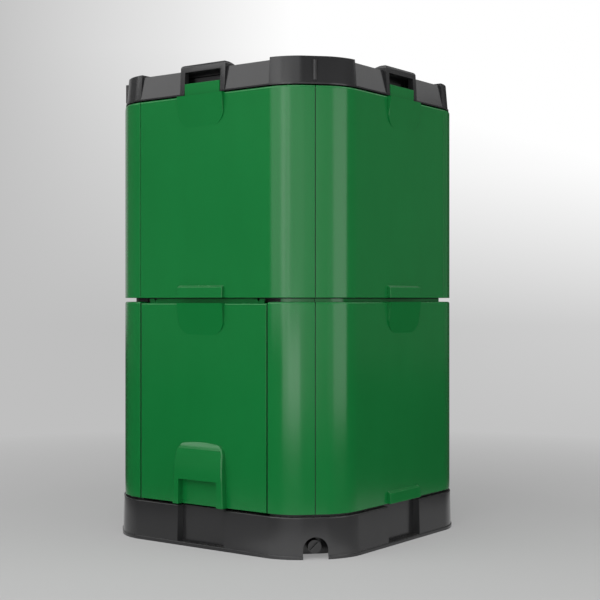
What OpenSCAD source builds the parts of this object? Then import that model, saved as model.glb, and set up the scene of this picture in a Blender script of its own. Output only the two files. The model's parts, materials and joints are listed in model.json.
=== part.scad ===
// Hot composter: insulated square bin in two tiers on a sump base, with a hinged lid,
// two swinging doors, a drain tap and a perforated aeration column.

/* [Footprint] */
// Distance from the centre to the outer face of a wall
wall_half = 358; // [340:1:380]
// How far each corner is cut back along both faces
corner_cut = 104; // [100:1:120]
// Radius of the two bends at each corner, on the inside of the wall
bend_core = 75; // [50:1:85]

/* [Heights] */
// Height of the base, from the ground to its rim
base_h = 98; // [80:1:130]
// Dark gap between the base rim and the lowest green edge
foot_h = 6; // [3:1:12]
// Height of one tier of green panels
tier_h = 498; // [450:1:560]
// Height of the groove between the tiers
groove_h = 10; // [8:1:16]
// Gap between the upper tier and the lid skirt
lid_gap = 3; // [2:0.5:6]
// Height of the lid skirt, to the top of its sides
skirt_h = 61; // [52:1:80]
// Height of the raised corners above the lid's sides
corner_rise = 6; // [3:1:12]

/* [Wall panels] */
// Whole thickness of a wall panel
wall_t = 43; // [36:1:45]
// Thickness of a green outer skin
skin_t = 3.5; // [2.5:0.5:5]
// Thickness of an inner liner
liner_t = 3; // [2:0.5:4]
// Radius of the rolled top edge of a skin
roll_r = 8; // [6:0.5:10]
// How far a skin's top flange reaches inwards
flange_in = 36; // [30:1:38]
// How far the foot of a lower panel stands back from the face
foot_in = 12; // [9:1:16]
// Open seam between two skins
seam_gap = 1.6; // [0.6:0.2:3]
// Distance of the off-corner seams from the bend beside them
seam_lead = 1.5; // [1:0.5:20]
// Set-back of the green lip in the groove
lip_in = 15; // [13:0.5:18]
// Height of the green lip in the groove
lip_h = 8; // [4:0.5:9]
// Distance from the middle of a doorway to the lip on the post beside it
post_lip_at = 230; // [215:1:245]
// How far the lip on a door stops short of the door's end
lip_end = 17; // [12:1:60]

/* [Pads and tabs] */
// Width of the pad at the top of a panel
pad_w = 144; // [120:1:170]
// Height of the pad at the top of a panel
pad_h = 78; // [60:1:110]
// How far the pad stands out at its top
pad_d = 10; // [6:0.5:11]
// Radius of the pad's lower corners
pad_r = 38; // [20:1:50]
// Height of the boss at the bottom of a panel
boss_h = 26; // [15:1:40]
// How far the green tab rises above the upper tier
tab_rise = 31; // [24:1:36]
// Thickness of the green tab
tab_t = 5; // [4:0.5:6]
// How far the tab's face stands back from the panel's face
tab_in = 2; // [1:0.5:2.5]
// Height of the inner tab above the upper tier
inner_tab_rise = 50; // [40:1:52]

/* [Lid] */
// Outer width of a handle arch
arch_w = 143; // [130:1:160]
// Width of each upright of an arch
arch_leg = 14.5; // [12:0.5:18]
// Thickness of the bar over the finger opening
arch_bar = 10; // [8:0.5:13]
// Wall thickness of the lid shell
lid_t = 4; // [3:0.5:5]
// Set-back of the lid's insulated plug from the wall face
plug_in = 68; // [62:1:80]
// Depth of the lid's insulated plug below the deck
plug_h = 42; // [30:1:44]
// How far the raised corners start before the bend
corner_lead = 0.5; // [0.5:0.5:16]
// Radius of the lid's hinge pin
lid_pin_r = 3; // [2.5:0.25:3.5]
// Set-back of the lid's hinge pin from the wall face
lid_pin_in = 8; // [8:0.5:9]
// Height of the lid's hinge pin above the upper tier
lid_pin_rise = 18; // [16:0.5:20]

/* [Doors] */
// Distance of a door's end from the bend beside it
door_lead = 4.5; // [4:0.5:20]
// Gap between a door and its jamb
door_gap = 3; // [2:0.5:3]
// Thickness of a door
door_t = 30; // [26:1:32]
// Radius of a door pin
door_pin_r = 3; // [2.5:0.25:3.5]
// Set-back of the door pins from the wall face
door_pin_in = 7.5; // [7.5:0.5:9]
// Distance of the door pins below the top of the tier
door_pin_drop = 17; // [15:0.5:20]
// Half the width of the finger hood
hood_half = 81; // [74:1:95]
// Height of the finger hood
hood_h = 154; // [130:1:180]
// How far the hood stands out at the bottom
hood_d = 17; // [13:0.5:17]
// Half the width of the finger opening
grip_half = 61; // [50:1:66]
// Height of the finger opening
grip_h = 62; // [50:1:75]

/* [Base] */
// How far the base's rim stands out from the wall face
rim_out = 3; // [2:0.5:4]
// How far the base's foot flange stands out from the wall face
flange_out = 7; // [6:0.5:9]
// Height of the foot flange
flange_h = 9; // [6:1:14]
// Wall thickness of the base
base_t = 4; // [3:0.5:5]
// Half the width of the recess in each side
recess_half = 74; // [50:1:80]
// Depth of the recess in each side
recess_d = 15; // [8:0.5:15]
// Set-back of the sump from the wall face
sump_in = 66; // [62:1:80]
// Height of the sump floor's upper side
sump_floor_z = 8; // [7:0.5:9]
// Thickness of the deck that carries the walls
deck_t = 5; // [4:0.5:7]
// Thickness of the floor grille
grille_t = 6; // [4:0.5:7]
// Width of a slot in the floor grille
slot_w = 9; // [6:0.5:12]
// Spacing of the slots in the floor grille
slot_pitch = 22; // [18:1:30]

/* [Drain tap] */
// Height of the tap's axis above the ground
tap_z = 27; // [25:0.5:28]
// Radius of the tap's barrel
tap_r = 15; // [14:0.5:16]
// Radius of the turning plug
plug_r = 10; // [9:0.5:11]
// Radius of the thread through the sump wall
thread_r = 11; // [9:0.5:12]
// Half the width of the arched notch round the tap
notch_half = 30; // [24:1:32]

/* [Aeration column] */
// Outer radius of the column
column_r = 50; // [44:1:60]
// Wall thickness of the column
column_t = 3; // [2:0.5:5]
// Room between the column's cap and the lid
lid_room = 77; // [40:1:160]
// Radial length of a fin
fin_w = 124; // [100:1:140]
// Thickness of a hollow fin
fin_t = 16; // [12:1:20]
// How far the fins stop below the top of the column
fin_drop = 70; // [40:5:140]
// Diameter of the air holes
air_d = 14; // [8:1:18]
// Spacing of the rows of air holes
air_pitch = 60; // [45:1:90]

/* [Clearances] */
// Gap between the layers of a panel, and under the ring between the tiers
layer_gap = 0.1; // [0.08:0.01:0.3]
// Gap all round the seam keys
key_gap = 0.3; // [0.2:0.05:0.5]
// Radial gap between a peg and its hole
peg_gap = 0.3; // [0.2:0.05:0.6]
// Radial running gap of the hinge pins and the tap's plug
run_gap = 0.06; // [0.03:0.01:0.09]
// Gap between a moving face and the face it passes
face_gap = 0.5; // [0.35:0.05:1]
// Gap round the floor grille
grille_gap = 0.8; // [0.4:0.1:1]

/* [Hidden] */
$fn = 48;

green = "#1b7537";
dark = "#4a4a4a";
black = "#2b2b2b";
foam_white = "#e8e4d8";
steel = "#b9bcc0";

// Heights of the stack, from the ground up
lower_z = base_h + foot_h;
groove_z = lower_z + tier_h;
upper_z = groove_z + groove_h;
top_z = upper_z + tier_h;
lid_z = top_z + lid_gap;
side_z = lid_z + skirt_h;
crown_z = side_z + corner_rise;
deck_dip = 0.5;
deck_under_z = side_z - lid_t - deck_dip;

// Outside radius of a bend, and what it takes from the flats on both sides of it
bend_r = wall_t + bend_core;
bend_cut = bend_r * tan(22.5);
// The eight sides run anticlockwise from the front: even ones are faces, odd ones are corners
function side_dist(k) = k % 2 == 0 ? wall_half : (2 * wall_half - corner_cut) / sqrt(2);
function side_half(k) = (k % 2 == 0 ? wall_half - corner_cut : corner_cut / sqrt(2)) - bend_cut;
FACES = [0, 2, 4, 6];
CORNERS = [1, 3, 5, 7];
FRONT = 0;
BACK = 4;
seam_at = side_half(FRONT) - seam_lead;
corner_at = side_half(FRONT) - corner_lead;
door_half = side_half(FRONT) - door_lead;
jamb = door_half + door_gap;
reach = 2 * wall_half;
bite = 1;
// Thickness of the two slabs between which a drafted side is drawn
draft_slab = 1;
// A flat runs this far into the bend beside it, which lies a hair further in and up, so that
// the two cross cleanly and make one piece
lap = 0.5;
hair = [0.05, 0.02];

// Places of the pegs: side, and distance along it
peg_at = 150;
post_peg_at = 35;
LOWER_PEGS = [for (a = [0, 4]) for (p = [[1, -post_peg_at], [2, -peg_at], [2, peg_at], [3, 0]]) [p[0] + a, p[1]]];
UPPER_PEGS = [for (k = FACES) for (x = [-peg_at, peg_at]) [k, x]];
peg_r = 4;
peg_h = 16;
peg_in = 36;
base_peg_in = 27;

// Seam keys: side, distance along it
key_w = 24;
key_t = 8;
key_in = 20;
key_end = 14;
LOWER_SEAMS = [[1, 0], [5, 0]];
UPPER_SEAMS = [[0, -seam_at], [1, 0], [2, seam_at], [5, 0]];

// Runs of wall: first side, last side, start along the first, stop along the last
LOWER_RIGHT = [1, 4, 0, -jamb];
LOWER_LEFT = [5, 8, 0, -jamb];
FRONT_POST = [0, 1, jamb, 0];
BACK_POST = [4, 5, jamb, 0];
UPPER_FRONT = [0, 1, -seam_at, 0];
UPPER_RIGHT = [1, 2, 0, seam_at];
UPPER_BACK = [2, 5, seam_at, 0];
UPPER_LEFT = [5, 8, 0, -seam_at];

// The green lip runs from each seam at the middle of a corner: along a side, and over a post
LIP_RIGHT = [1, 2, 0, side_half(2)];
LIP_LEFT = [5, 6, 0, side_half(6)];
LIP_FRONT_POST = [0, 1, jamb, 0];
LIP_BACK_POST = [4, 5, jamb, 0];

// Octagon with rounded corners, set in from the wall face
module outline(inset) {
    r = max(bend_r - inset, 3);
    e = inset + r;
    h = wall_half - e;
    c = corner_cut - e * (2 - sqrt(2));
    centres = [for (k = [0:3]) for (p = [[h - c, -h], [h, c - h]])
        [p[0] * cos(90 * k) - p[1] * sin(90 * k), p[0] * sin(90 * k) + p[1] * cos(90 * k)]];
    polygon([for (i = [0:7]) for (a = [-90, -45]) centres[i] + r * [cos(a + 45 * i), sin(a + 45 * i)]]);
    for (p = centres)
        translate(p)
            circle(r);
}

module slab(inset, z0, z1) {
    translate([0, 0, z0])
        linear_extrude(z1 - z0)
            outline(inset);
}

// A flat stretch of wall: its profile has x inwards from the face and y upwards
module flat_run(k, start, stop) {
    rotate(45 * k)
        translate([start, -side_dist(k), 0])
            rotate([90, 0, 90])
                linear_extrude(stop - start)
                    children();
}

// The bend between one side and the next, with the same profile
module bend_run(k) {
    rotate(45 * k)
        translate([side_half(k), bend_r - side_dist(k), 0])
            rotate(-90)
                rotate_extrude(angle = 45)
                    translate([bend_r - hair[0], hair[1]])
                        mirror([1, 0])
                            children();
}

// A profile swept along a run of wall, kept back from both of its ends
module wall_run(run, back = 0) {
    for (k = [run[0]:run[1]]) {
        flat_run(k, k == run[0] ? run[2] + back : -side_half(k) - lap,
                k == run[1] ? run[3] - back : side_half(k) + lap)
            children();
        if (k < run[1])
            bend_run(k)
                children();
    }
}

module on_side(k, x, inset, z) {
    rotate(45 * k)
        translate([x, inset - side_dist(k), z])
            children();
}

// A section across the wall, pulled along the face over a width centred on its middle
module across(k, width) {
    flat_run(k, -width / 2, width / 2)
        children();
}

// A shape in the plane of the face, pulled through it from one inset to another
module through(k, in0, in1) {
    on_side(k, 0, in1, 0)
        rotate([90, 0, 0])
            linear_extrude(in1 - in0)
                children();
}

module pegs(places, inset, z, h, r) {
    for (p = places)
        on_side(p[0], p[1], inset, z)
            cylinder(r = r, h = h);
}

module keys(seams, z, gap) {
    for (s = seams)
        on_side(s[0], s[1], key_in, z + key_end - gap)
            translate([-key_w / 2 - gap, -key_t / 2 - gap, 0])
                cube([key_w + 2 * gap, key_t + 2 * gap, tier_h - 2 * key_end + 2 * gap]);
}

// Outer skin: plate, rolled top edge and top flange
function roll_arc(r, top) = [for (a = [180:-22.5:90]) [roll_r + r * cos(a), top - roll_r + r * sin(a)]];
function reversed(list) = [for (i = [len(list) - 1:-1:0]) list[i]];
module skin_profile(z, top, depth) {
    polygon(concat([[0, z]], roll_arc(roll_r, top), [[depth, top], [depth, top - skin_t]],
        reversed(roll_arc(roll_r - skin_t, top)), [[skin_t, z]]));
}

module lip_profile(z) {
    translate([lip_in, z + tier_h - skin_t])
        square([skin_t, lip_h + skin_t]);
}

// The layers behind a skin lose their outer top corner, where the skin's edge rolls over them
roll_cut = roll_r - skin_t;
foam_cut = max(roll_cut - liner_t - layer_gap, layer_gap);
module layer_profile(x0, x1, z0, z1, cut) {
    polygon([[x0, z0], [x1, z0], [x1, z1], [x0 + cut, z1], [x0, z1 - cut]]);
}

// Inner liner: plate with returns that close the panel, and a foot on the lower tier
module liner_profile(z, foot) {
    low = z - foot;
    high = z + tier_h - skin_t - layer_gap;
    out = skin_t + layer_gap;
    foot_x = foot > 0 ? foot_in : out;
    polygon([
        [wall_t, low], [wall_t, z + tier_h], [wall_t - liner_t, z + tier_h], [wall_t - liner_t, high],
        [out + roll_cut, high], [out + roll_cut - liner_t, high - liner_t], [wall_t - liner_t, high - liner_t],
        [wall_t - liner_t, z + liner_t], [out, z + liner_t], [out, z],
        [foot_x, z], [foot_x, low]
    ]);
}

module foam_profile(z) {
    layer_profile(skin_t + layer_gap, wall_t - liner_t - layer_gap, z + liner_t + layer_gap,
        z + tier_h - skin_t - liner_t - 2 * layer_gap, foam_cut);
}

// Pad at the top of a panel, flush at its round lower end
pad_edge = 4;
module top_pad(k, z) {
    top = z + tier_h;
    intersection() {
        across(k, pad_w)
            polygon([[bite, top - pad_h], [0, top - pad_h], [-pad_d, top - pad_edge], [-pad_d, top],
                [roll_r, top], [bite, top - roll_r]]);
        through(k, -pad_d - bite, roll_r + bite)
            union() {
                translate([-pad_w / 2, top - pad_h + pad_r])
                    square([pad_w, pad_h]);
                translate([pad_r - pad_w / 2, top - pad_h])
                    square([pad_w - 2 * pad_r, pad_h]);
                for (x = [pad_r - pad_w / 2, pad_w / 2 - pad_r])
                    translate([x, top - pad_h + pad_r])
                        circle(pad_r);
            }
    }
}

boss_draft = 2;
module bottom_boss(k, z) {
    across(k, pad_w)
        polygon([[bite, z], [-pad_d, z], [boss_draft - pad_d, z + boss_h], [bite, z + boss_h + pad_d / 2]]);
}

// Green tab that fills the lower part of a handle arch, with a return at each end
tab_side_gap = 1.5;
tab_half = arch_w / 2 - arch_leg - tab_side_gap;
module handle_tab(k) {
    on_side(k, -tab_half, tab_in, top_z - skin_t)
        cube([2 * tab_half, tab_t, tab_rise + skin_t]);
    for (x = [-tab_half, tab_half - liner_t])
        on_side(k, x, tab_in, top_z - skin_t)
            cube([liner_t, 3 * tab_t, tab_rise + skin_t]);
}

module skin(run, z, pads) {
    difference() {
        union() {
            wall_run(run, seam_gap / 2)
                skin_profile(z, z + tier_h, flange_in);
            for (k = pads) {
                top_pad(k, z);
                bottom_boss(k, z);
            }
        }
        pegs(z == upper_z ? [] : LOWER_PEGS, peg_in, groove_z - peg_h, 2 * peg_h, peg_r + peg_gap);
    }
}

// Lip on a door, with a V cut near each end
lip_half = door_half - lip_end;
lip_cut_end = 18;
lip_cut_at = lip_half - lip_cut_end;
lip_cut = 6;
module door_lip(k) {
    difference() {
        across(k, 2 * lip_half)
            lip_profile(lower_z);
        for (x = [-lip_cut_at, lip_cut_at])
            through(k, lip_in - bite, lip_in + skin_t + bite)
                translate([x, groove_z])
                    polygon([[0, 0], [-lip_cut, lip_h + bite], [lip_cut, lip_h + bite]]);
    }
}

module wall_lip(run) {
    wall_run(run, seam_gap / 2)
        lip_profile(lower_z);
}

module post_lip(run) {
    difference() {
        wall_lip(run);
        on_side(run[0], 0, 0, groove_z - skin_t - bite)
            cube([post_lip_at, wall_t, skin_t + lip_h + 2 * bite]);
    }
}

// Holes and slots that a panel's inner pieces share
module panel_cuts(lower) {
    z = lower ? lower_z : upper_z;
    keys(lower ? LOWER_SEAMS : UPPER_SEAMS, z, key_gap);
    if (lower) {
        pegs(LOWER_PEGS, base_peg_in, base_h - bite, peg_h + bite + peg_gap, peg_r + peg_gap);
        pegs(LOWER_PEGS, peg_in, groove_z - peg_h - peg_gap, 2 * peg_h, peg_r + peg_gap);
    } else {
        pegs(UPPER_PEGS, peg_in, upper_z - bite, peg_h + bite + peg_gap, peg_r + peg_gap);
    }
}

module end_plate(k, start, z) {
    flat_run(k, start, start + liner_t)
        layer_profile(skin_t + layer_gap, wall_t, z, z + tier_h - skin_t - layer_gap, roll_cut);
}

module liner(run, z, foot) {
    difference() {
        union() {
            wall_run(run)
                liner_profile(z, foot);
            end_plate(run[0], run[2], z);
            end_plate(run[1], run[3] - liner_t, z);
        }
        panel_cuts(z == lower_z);
    }
}

// Foam between the two end plates of a panel
module foam(run, z) {
    room = liner_t + layer_gap;
    difference() {
        wall_run(run)
            foam_profile(z);
        for (end = [[run[0], run[2] - bite], [run[1], run[3] - room]])
            flat_run(end[0], end[1], end[1] + room + bite)
                translate([0, z])
                    square([wall_t, tier_h]);
    }
}

// Bosses that hold the ends of a door pin, behind a jamb and in the door
post_boss = 6;
door_boss = 14;
door_pin_z = groove_z - door_pin_drop;
pin_boss_t = 3;
pin_boss_r = door_pin_r + pin_boss_t;
module pin_axis(k, x0, x1, r) {
    on_side(k, x0, door_pin_in, door_pin_z)
        rotate([0, 90, 0])
            cylinder(r = r, h = x1 - x0);
}

// Boss on one side of a doorway, kept behind the skin
module jamb_pin_boss(k, side) {
    intersection() {
        pin_axis(k, side > 0 ? jamb : -jamb - post_boss, side > 0 ? jamb + post_boss : -jamb, pin_boss_r);
        wall_run(side > 0 ? [k, k + 1, jamb, 0] : [k + 7, k + 8, 0, -jamb])
            layer_profile(skin_t + layer_gap, wall_t, lower_z, groove_z - skin_t - layer_gap, roll_cut);
    }
}

module jamb_bores(r) {
    for (k = [FRONT, BACK])
        pin_axis(k, -jamb - post_boss - bite, jamb + post_boss + bite, r);
}

module lower_liner(run, k, side) {
    color(dark)
        difference() {
            union() {
                liner(run, lower_z, foot_h);
                jamb_pin_boss(k, side);
            }
            jamb_bores(door_pin_r + run_gap);
        }
}

module lower_foam(run) {
    color(foam_white)
        difference() {
            foam(run, lower_z);
            panel_cuts(true);
            jamb_bores(pin_boss_r);
        }
}

module upper_foam(run) {
    color(foam_white)
        difference() {
            foam(run, upper_z);
            panel_cuts(false);
        }
}

// Inner tab that stands behind a handle arch, with a groove along its face
tab_groove_drop = 12;
tab_groove = [2, 0.8];
module upper_liner(run, k) {
    color(dark) {
        liner(run, upper_z, 0);
        difference() {
            on_side(k, -tab_half, wall_t - liner_t, top_z - liner_t)
                cube([2 * tab_half, liner_t, inner_tab_rise + liner_t]);
            on_side(k, -tab_half - bite, wall_t - liner_t - bite, top_z + inner_tab_rise - tab_groove_drop)
                cube([2 * (tab_half + bite), bite + tab_groove[1], tab_groove[0]]);
        }
    }
}

module upper_skin(run, k) {
    color(green) {
        skin(run, upper_z, [k]);
        if (k != BACK)
            handle_tab(k);
    }
}

module lower_left_skin() {
    color(green) {
        skin(LOWER_LEFT, lower_z, [6]);
        wall_lip(LIP_LEFT);
    }
}

module lower_right_skin() {
    color(green) {
        skin(LOWER_RIGHT, lower_z, [2]);
        wall_lip(LIP_RIGHT);
    }
}

module front_post_skin() {
    color(green) {
        skin(FRONT_POST, lower_z, []);
        post_lip(LIP_FRONT_POST);
    }
}

module back_post_skin() {
    color(green) {
        skin(BACK_POST, lower_z, []);
        post_lip(LIP_BACK_POST);
    }
}

module lower_left_foam() { lower_foam(LOWER_LEFT); }
module lower_right_foam() { lower_foam(LOWER_RIGHT); }
module front_post_foam() { lower_foam(FRONT_POST); }
module back_post_foam() { lower_foam(BACK_POST); }
module lower_left_liner() { lower_liner(LOWER_LEFT, FRONT, -1); }
module lower_right_liner() { lower_liner(LOWER_RIGHT, BACK, -1); }
module front_post_liner() { lower_liner(FRONT_POST, FRONT, 1); }
module back_post_liner() { lower_liner(BACK_POST, BACK, 1); }

module upper_front_skin() { upper_skin(UPPER_FRONT, 0); }
module upper_right_skin() { upper_skin(UPPER_RIGHT, 2); }
module upper_left_skin() { upper_skin(UPPER_LEFT, 6); }
module upper_front_foam() { upper_foam(UPPER_FRONT); }
module upper_right_foam() { upper_foam(UPPER_RIGHT); }
module upper_back_foam() { upper_foam(UPPER_BACK); }
module upper_left_foam() { upper_foam(UPPER_LEFT); }
module upper_front_liner() { upper_liner(UPPER_FRONT, 0); }
module upper_right_liner() { upper_liner(UPPER_RIGHT, 2); }
module upper_back_liner() { upper_liner(UPPER_BACK, 4); }
module upper_left_liner() { upper_liner(UPPER_LEFT, 6); }

// The back skin's tab carries the knuckle of the lid's hinge
knuckle_t = 3;
lid_pin_z = top_z + lid_pin_rise;
knuckle_r = lid_pin_r + knuckle_t;
module lid_axis(half, r) {
    on_side(BACK, -half, lid_pin_in, lid_pin_z)
        rotate([0, 90, 0])
            cylinder(r = r, h = 2 * half);
}

module upper_back_skin() {
    color(green)
        difference() {
            union() {
                skin(UPPER_BACK, upper_z, [BACK]);
                handle_tab(BACK);
                lid_axis(tab_half, knuckle_r);
            }
            lid_axis(tab_half + bite, lid_pin_r + run_gap);
        }
}

lid_pin_end = 2;
lid_pin_half = arch_w / 2 - lid_pin_end;
module lid_hinge_pin() {
    color(steel)
        lid_axis(lid_pin_half, lid_pin_r);
}

// Ring between the tiers, cut back over the doors, with pegs up and down
ring_in = 29;
ring_door_in = 33;
module tier_ring() {
    color(dark) {
        difference() {
            slab(ring_in, groove_z + layer_gap, upper_z);
            slab(wall_t, groove_z - bite, upper_z + bite);
            for (k = [FRONT, BACK])
                on_side(k, -jamb - bite, 0, groove_z - bite)
                    cube([2 * (jamb + bite), ring_door_in, groove_h + 2 * bite]);
        }
        pegs(LOWER_PEGS, peg_in, groove_z - peg_h, peg_h + bite, peg_r);
        pegs(UPPER_PEGS, peg_in, upper_z - bite, peg_h + bite, peg_r);
    }
}

module seam_keys() {
    color(black) {
        keys(LOWER_SEAMS, lower_z, 0);
        keys(UPPER_SEAMS, upper_z, 0);
    }
}

// Door: skin with hood, liner tray and foam
door_top = groove_z - door_gap;
// Finger hood: a scoop whose flanks lean in towards a shallow arch, hollow behind the finger opening
hood_r = 26;
hood_lean = 6;
hood_arch_r = 360;
// How far the hood stands out at shares of its height, each as [share out, share up]
HOOD_CURVE = [[1, 0], [1, 0.45], [0.94, 0.6], [0.76, 0.76], [0.45, 0.9], [0, 1]];
grip_slant = 3;
grip_rise = 20;
grip_roof = 28;
module hood(k) {
    low = lower_z;
    grip_top = low + grip_h;
    difference() {
        intersection() {
            across(k, 2 * hood_half)
                polygon(concat([[bite, low]], [for (p = HOOD_CURVE) [-hood_d * p[0], low + hood_h * p[1]]],
                    [[bite, low + hood_h]]));
            through(k, -hood_d - bite, 2 * bite)
                intersection() {
                    translate([0, low + hood_h - hood_arch_r])
                        circle(hood_arch_r);
                    polygon([[-hood_half, low], [hood_half, low], [hood_half - hood_lean, low + hood_h],
                        [hood_lean - hood_half, low + hood_h]]);
                    union() {
                        translate([-hood_half, low])
                            square([2 * hood_half, hood_h - hood_r]);
                        translate([hood_r + hood_lean - hood_half, low])
                            square([2 * (hood_half - hood_lean - hood_r), hood_h]);
                        for (x = [-1, 1])
                            translate([x * (hood_half - hood_lean - hood_r), low + hood_h - hood_r])
                                circle(hood_r);
                    }
                }
        }
        across(k, 2 * grip_half)
            polygon([[0, low - bite], [-hood_d - bite, low - bite], [-hood_d - bite, grip_top],
                [skin_t - hood_d, grip_top], [skin_t - hood_d + grip_slant, grip_top + grip_rise],
                [0, grip_top + grip_roof]]);
    }
}

module door_skin(k) {
    color(green) {
        flat_run(k, -door_half, door_half)
            skin_profile(lower_z, door_top, door_t);
        top_pad(k, lower_z - door_gap);
        door_lip(k);
        hood(k);
    }
}

module door_pin_boss(k) {
    for (x = [-door_half, door_half - door_boss])
        pin_axis(k, x, x + door_boss, pin_boss_r);
}

// What fills a door behind its skin
module door_block(k, edge, back, z0) {
    flat_run(k, edge - door_half, door_half - edge)
        layer_profile(skin_t, back, z0, door_top - skin_t, roll_cut);
}

module door_liner(k) {
    color(dark)
        difference() {
            union() {
                difference() {
                    door_block(k, 0, door_t, lower_z);
                    flat_run(k, liner_t - door_half, door_half - liner_t)
                        translate([0, lower_z + liner_t])
                            square([door_t - liner_t, tier_h]);
                }
                intersection() {
                    door_pin_boss(k);
                    door_block(k, 0, door_t, lower_z);
                }
            }
            pin_axis(k, -door_half - bite, door_half + bite, door_pin_r + run_gap);
        }
}

module door_foam(k) {
    color(foam_white)
        difference() {
            door_block(k, liner_t, door_t - liner_t, lower_z + liner_t);
            door_pin_boss(k);
        }
}

module door_pins(k) {
    color(steel)
        for (x = [-jamb - post_boss, door_half - door_boss])
            pin_axis(k, x, x + post_boss + door_boss + door_gap, door_pin_r);
}

module front_door_skin() { door_skin(FRONT); }
module front_door_foam() { door_foam(FRONT); }
module front_door_liner() { door_liner(FRONT); }
module front_door_pins() { door_pins(FRONT); }
module back_door_skin() { door_skin(BACK); }
module back_door_foam() { door_foam(BACK); }
module back_door_liner() { door_liner(BACK); }
module back_door_pins() { door_pins(BACK); }

// Lid shell: drafted skirt, raised corners and four handle arches
skirt_top_in = 9;
skirt_low_in = 3;
hem_out = 1.5;
hem_h = 3.5;
lid_cavity_in = skirt_top_in + lid_t;
crown_in = 4;
crown_slope = 5;
crown_edge = 4;
panel_rise = 2;
open_half = arch_w / 2 - arch_leg;
module corner_squares(start, z0, z1) {
    for (sx = [-1, 1])
        for (sy = [-1, 1])
            translate([sx > 0 ? start : -reach, sy > 0 ? start : -reach, z0])
                cube([reach - start, reach - start, z1 - z0]);
}

// Frame round a handle opening, sloping down to the top of the lid behind it
arch_in = 1;
arch_edge = 3;
arch_back = 2;
arch_bar_t = 6;
arch_slope = 26;
arch_back_in = lid_cavity_in + arch_back;
arch_bar_in = lid_cavity_in + arch_bar_t;
arch_slope_in = lid_cavity_in + arch_slope;
module handle_arch(k) {
    across(k, arch_w)
        polygon([[arch_in, lid_z], [arch_in, crown_z - crown_edge], [arch_in + arch_edge, crown_z],
            [arch_bar_in, crown_z], [arch_slope_in, side_z], [arch_slope_in, deck_under_z + bite],
            [arch_back_in, deck_under_z + bite], [arch_back_in, lid_z]]);
}

corner_rib_w = 6;
corner_rib_out = 2;
corner_rib_up = 10;
module corner_rib(k) {
    on_side(k, -corner_rib_w / 2, crown_in - corner_rib_out, lid_z + corner_rib_up)
        cube([corner_rib_w, corner_rib_w, skirt_h - 2 * corner_rib_up]);
}

// Ribs under the deck that rest on the inner tabs
rest_rib_w = 4;
rest_rib_edge = 8;
rest_rib_at = tab_half - rest_rib_edge;
module rest_ribs(k) {
    z = top_z + inner_tab_rise + face_gap;
    for (x = [-rest_rib_at, rest_rib_at])
        on_side(k, x - rest_rib_w / 2, wall_t - liner_t - rest_rib_w / 2, z)
            cube([rest_rib_w, liner_t + rest_rib_w, deck_under_z + bite - z]);
}

module lid_shell() {
    color(dark)
        difference() {
            union() {
                difference() {
                    union() {
                        hull() {
                            slab(skirt_low_in, lid_z, lid_z + draft_slab);
                            slab(skirt_top_in, side_z - draft_slab, side_z);
                        }
                        slab(skirt_low_in - hem_out, lid_z, lid_z + hem_h);
                        slab(plug_in, side_z - bite, side_z + panel_rise);
                        intersection() {
                            corner_squares(corner_at, lid_z, crown_z);
                            hull() {
                                slab(crown_in, lid_z, crown_z - crown_edge);
                                slab(crown_in + crown_slope, crown_z - draft_slab, crown_z);
                            }
                        }
                    }
                    slab(lid_cavity_in, lid_z - bite, deck_under_z);
                    intersection() {
                        corner_squares(corner_at + lid_t, lid_z - bite, crown_z - lid_t);
                        slab(lid_cavity_in, lid_z - bite, crown_z - lid_t);
                    }
                }
                for (k = FACES)
                    handle_arch(k);
                for (k = CORNERS)
                    corner_rib(k);
                for (k = FACES)
                    if (k != BACK)
                        rest_ribs(k);
            }
            for (k = FACES)
                on_side(k, -open_half, -bite, lid_z - bite)
                    cube([2 * open_half, arch_back_in + 2 * bite, crown_z - arch_bar - lid_z + bite]);
            lid_axis(lid_pin_half + face_gap, lid_pin_r + run_gap);
            lid_screw_shanks(run_gap);
        }
}

// Screws that hold the lid liner's flange to the deck
screw_r = 2;
screw_head_r = 4;
screw_head_h = 2.5;
screw_at = 110;
screw_bite = 3;
liner_flange = 12;
LID_SCREWS = [for (k = FACES) for (x = [-screw_at, screw_at]) [k, x]];
module lid_screw_shanks(gap) {
    pegs(LID_SCREWS, plug_in - liner_flange / 2, deck_under_z - liner_t - bite, liner_t + bite + screw_bite,
        screw_r + gap);
}

module lid_screws() {
    color(steel) {
        lid_screw_shanks(0);
        pegs(LID_SCREWS, plug_in - liner_flange / 2, deck_under_z - liner_t - screw_head_h, screw_head_h,
            screw_head_r);
    }
}

module lid_liner() {
    color(dark)
        difference() {
            union() {
                slab(plug_in, deck_under_z - plug_h, deck_under_z);
                slab(plug_in - liner_flange, deck_under_z - liner_t, deck_under_z);
            }
            slab(plug_in + liner_t, deck_under_z - plug_h + liner_t, deck_under_z + bite);
            lid_screw_shanks(peg_gap);
        }
}

module lid_foam() {
    color(foam_white)
        slab(plug_in + liner_t, deck_under_z - plug_h + liner_t, deck_under_z);
}

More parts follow.
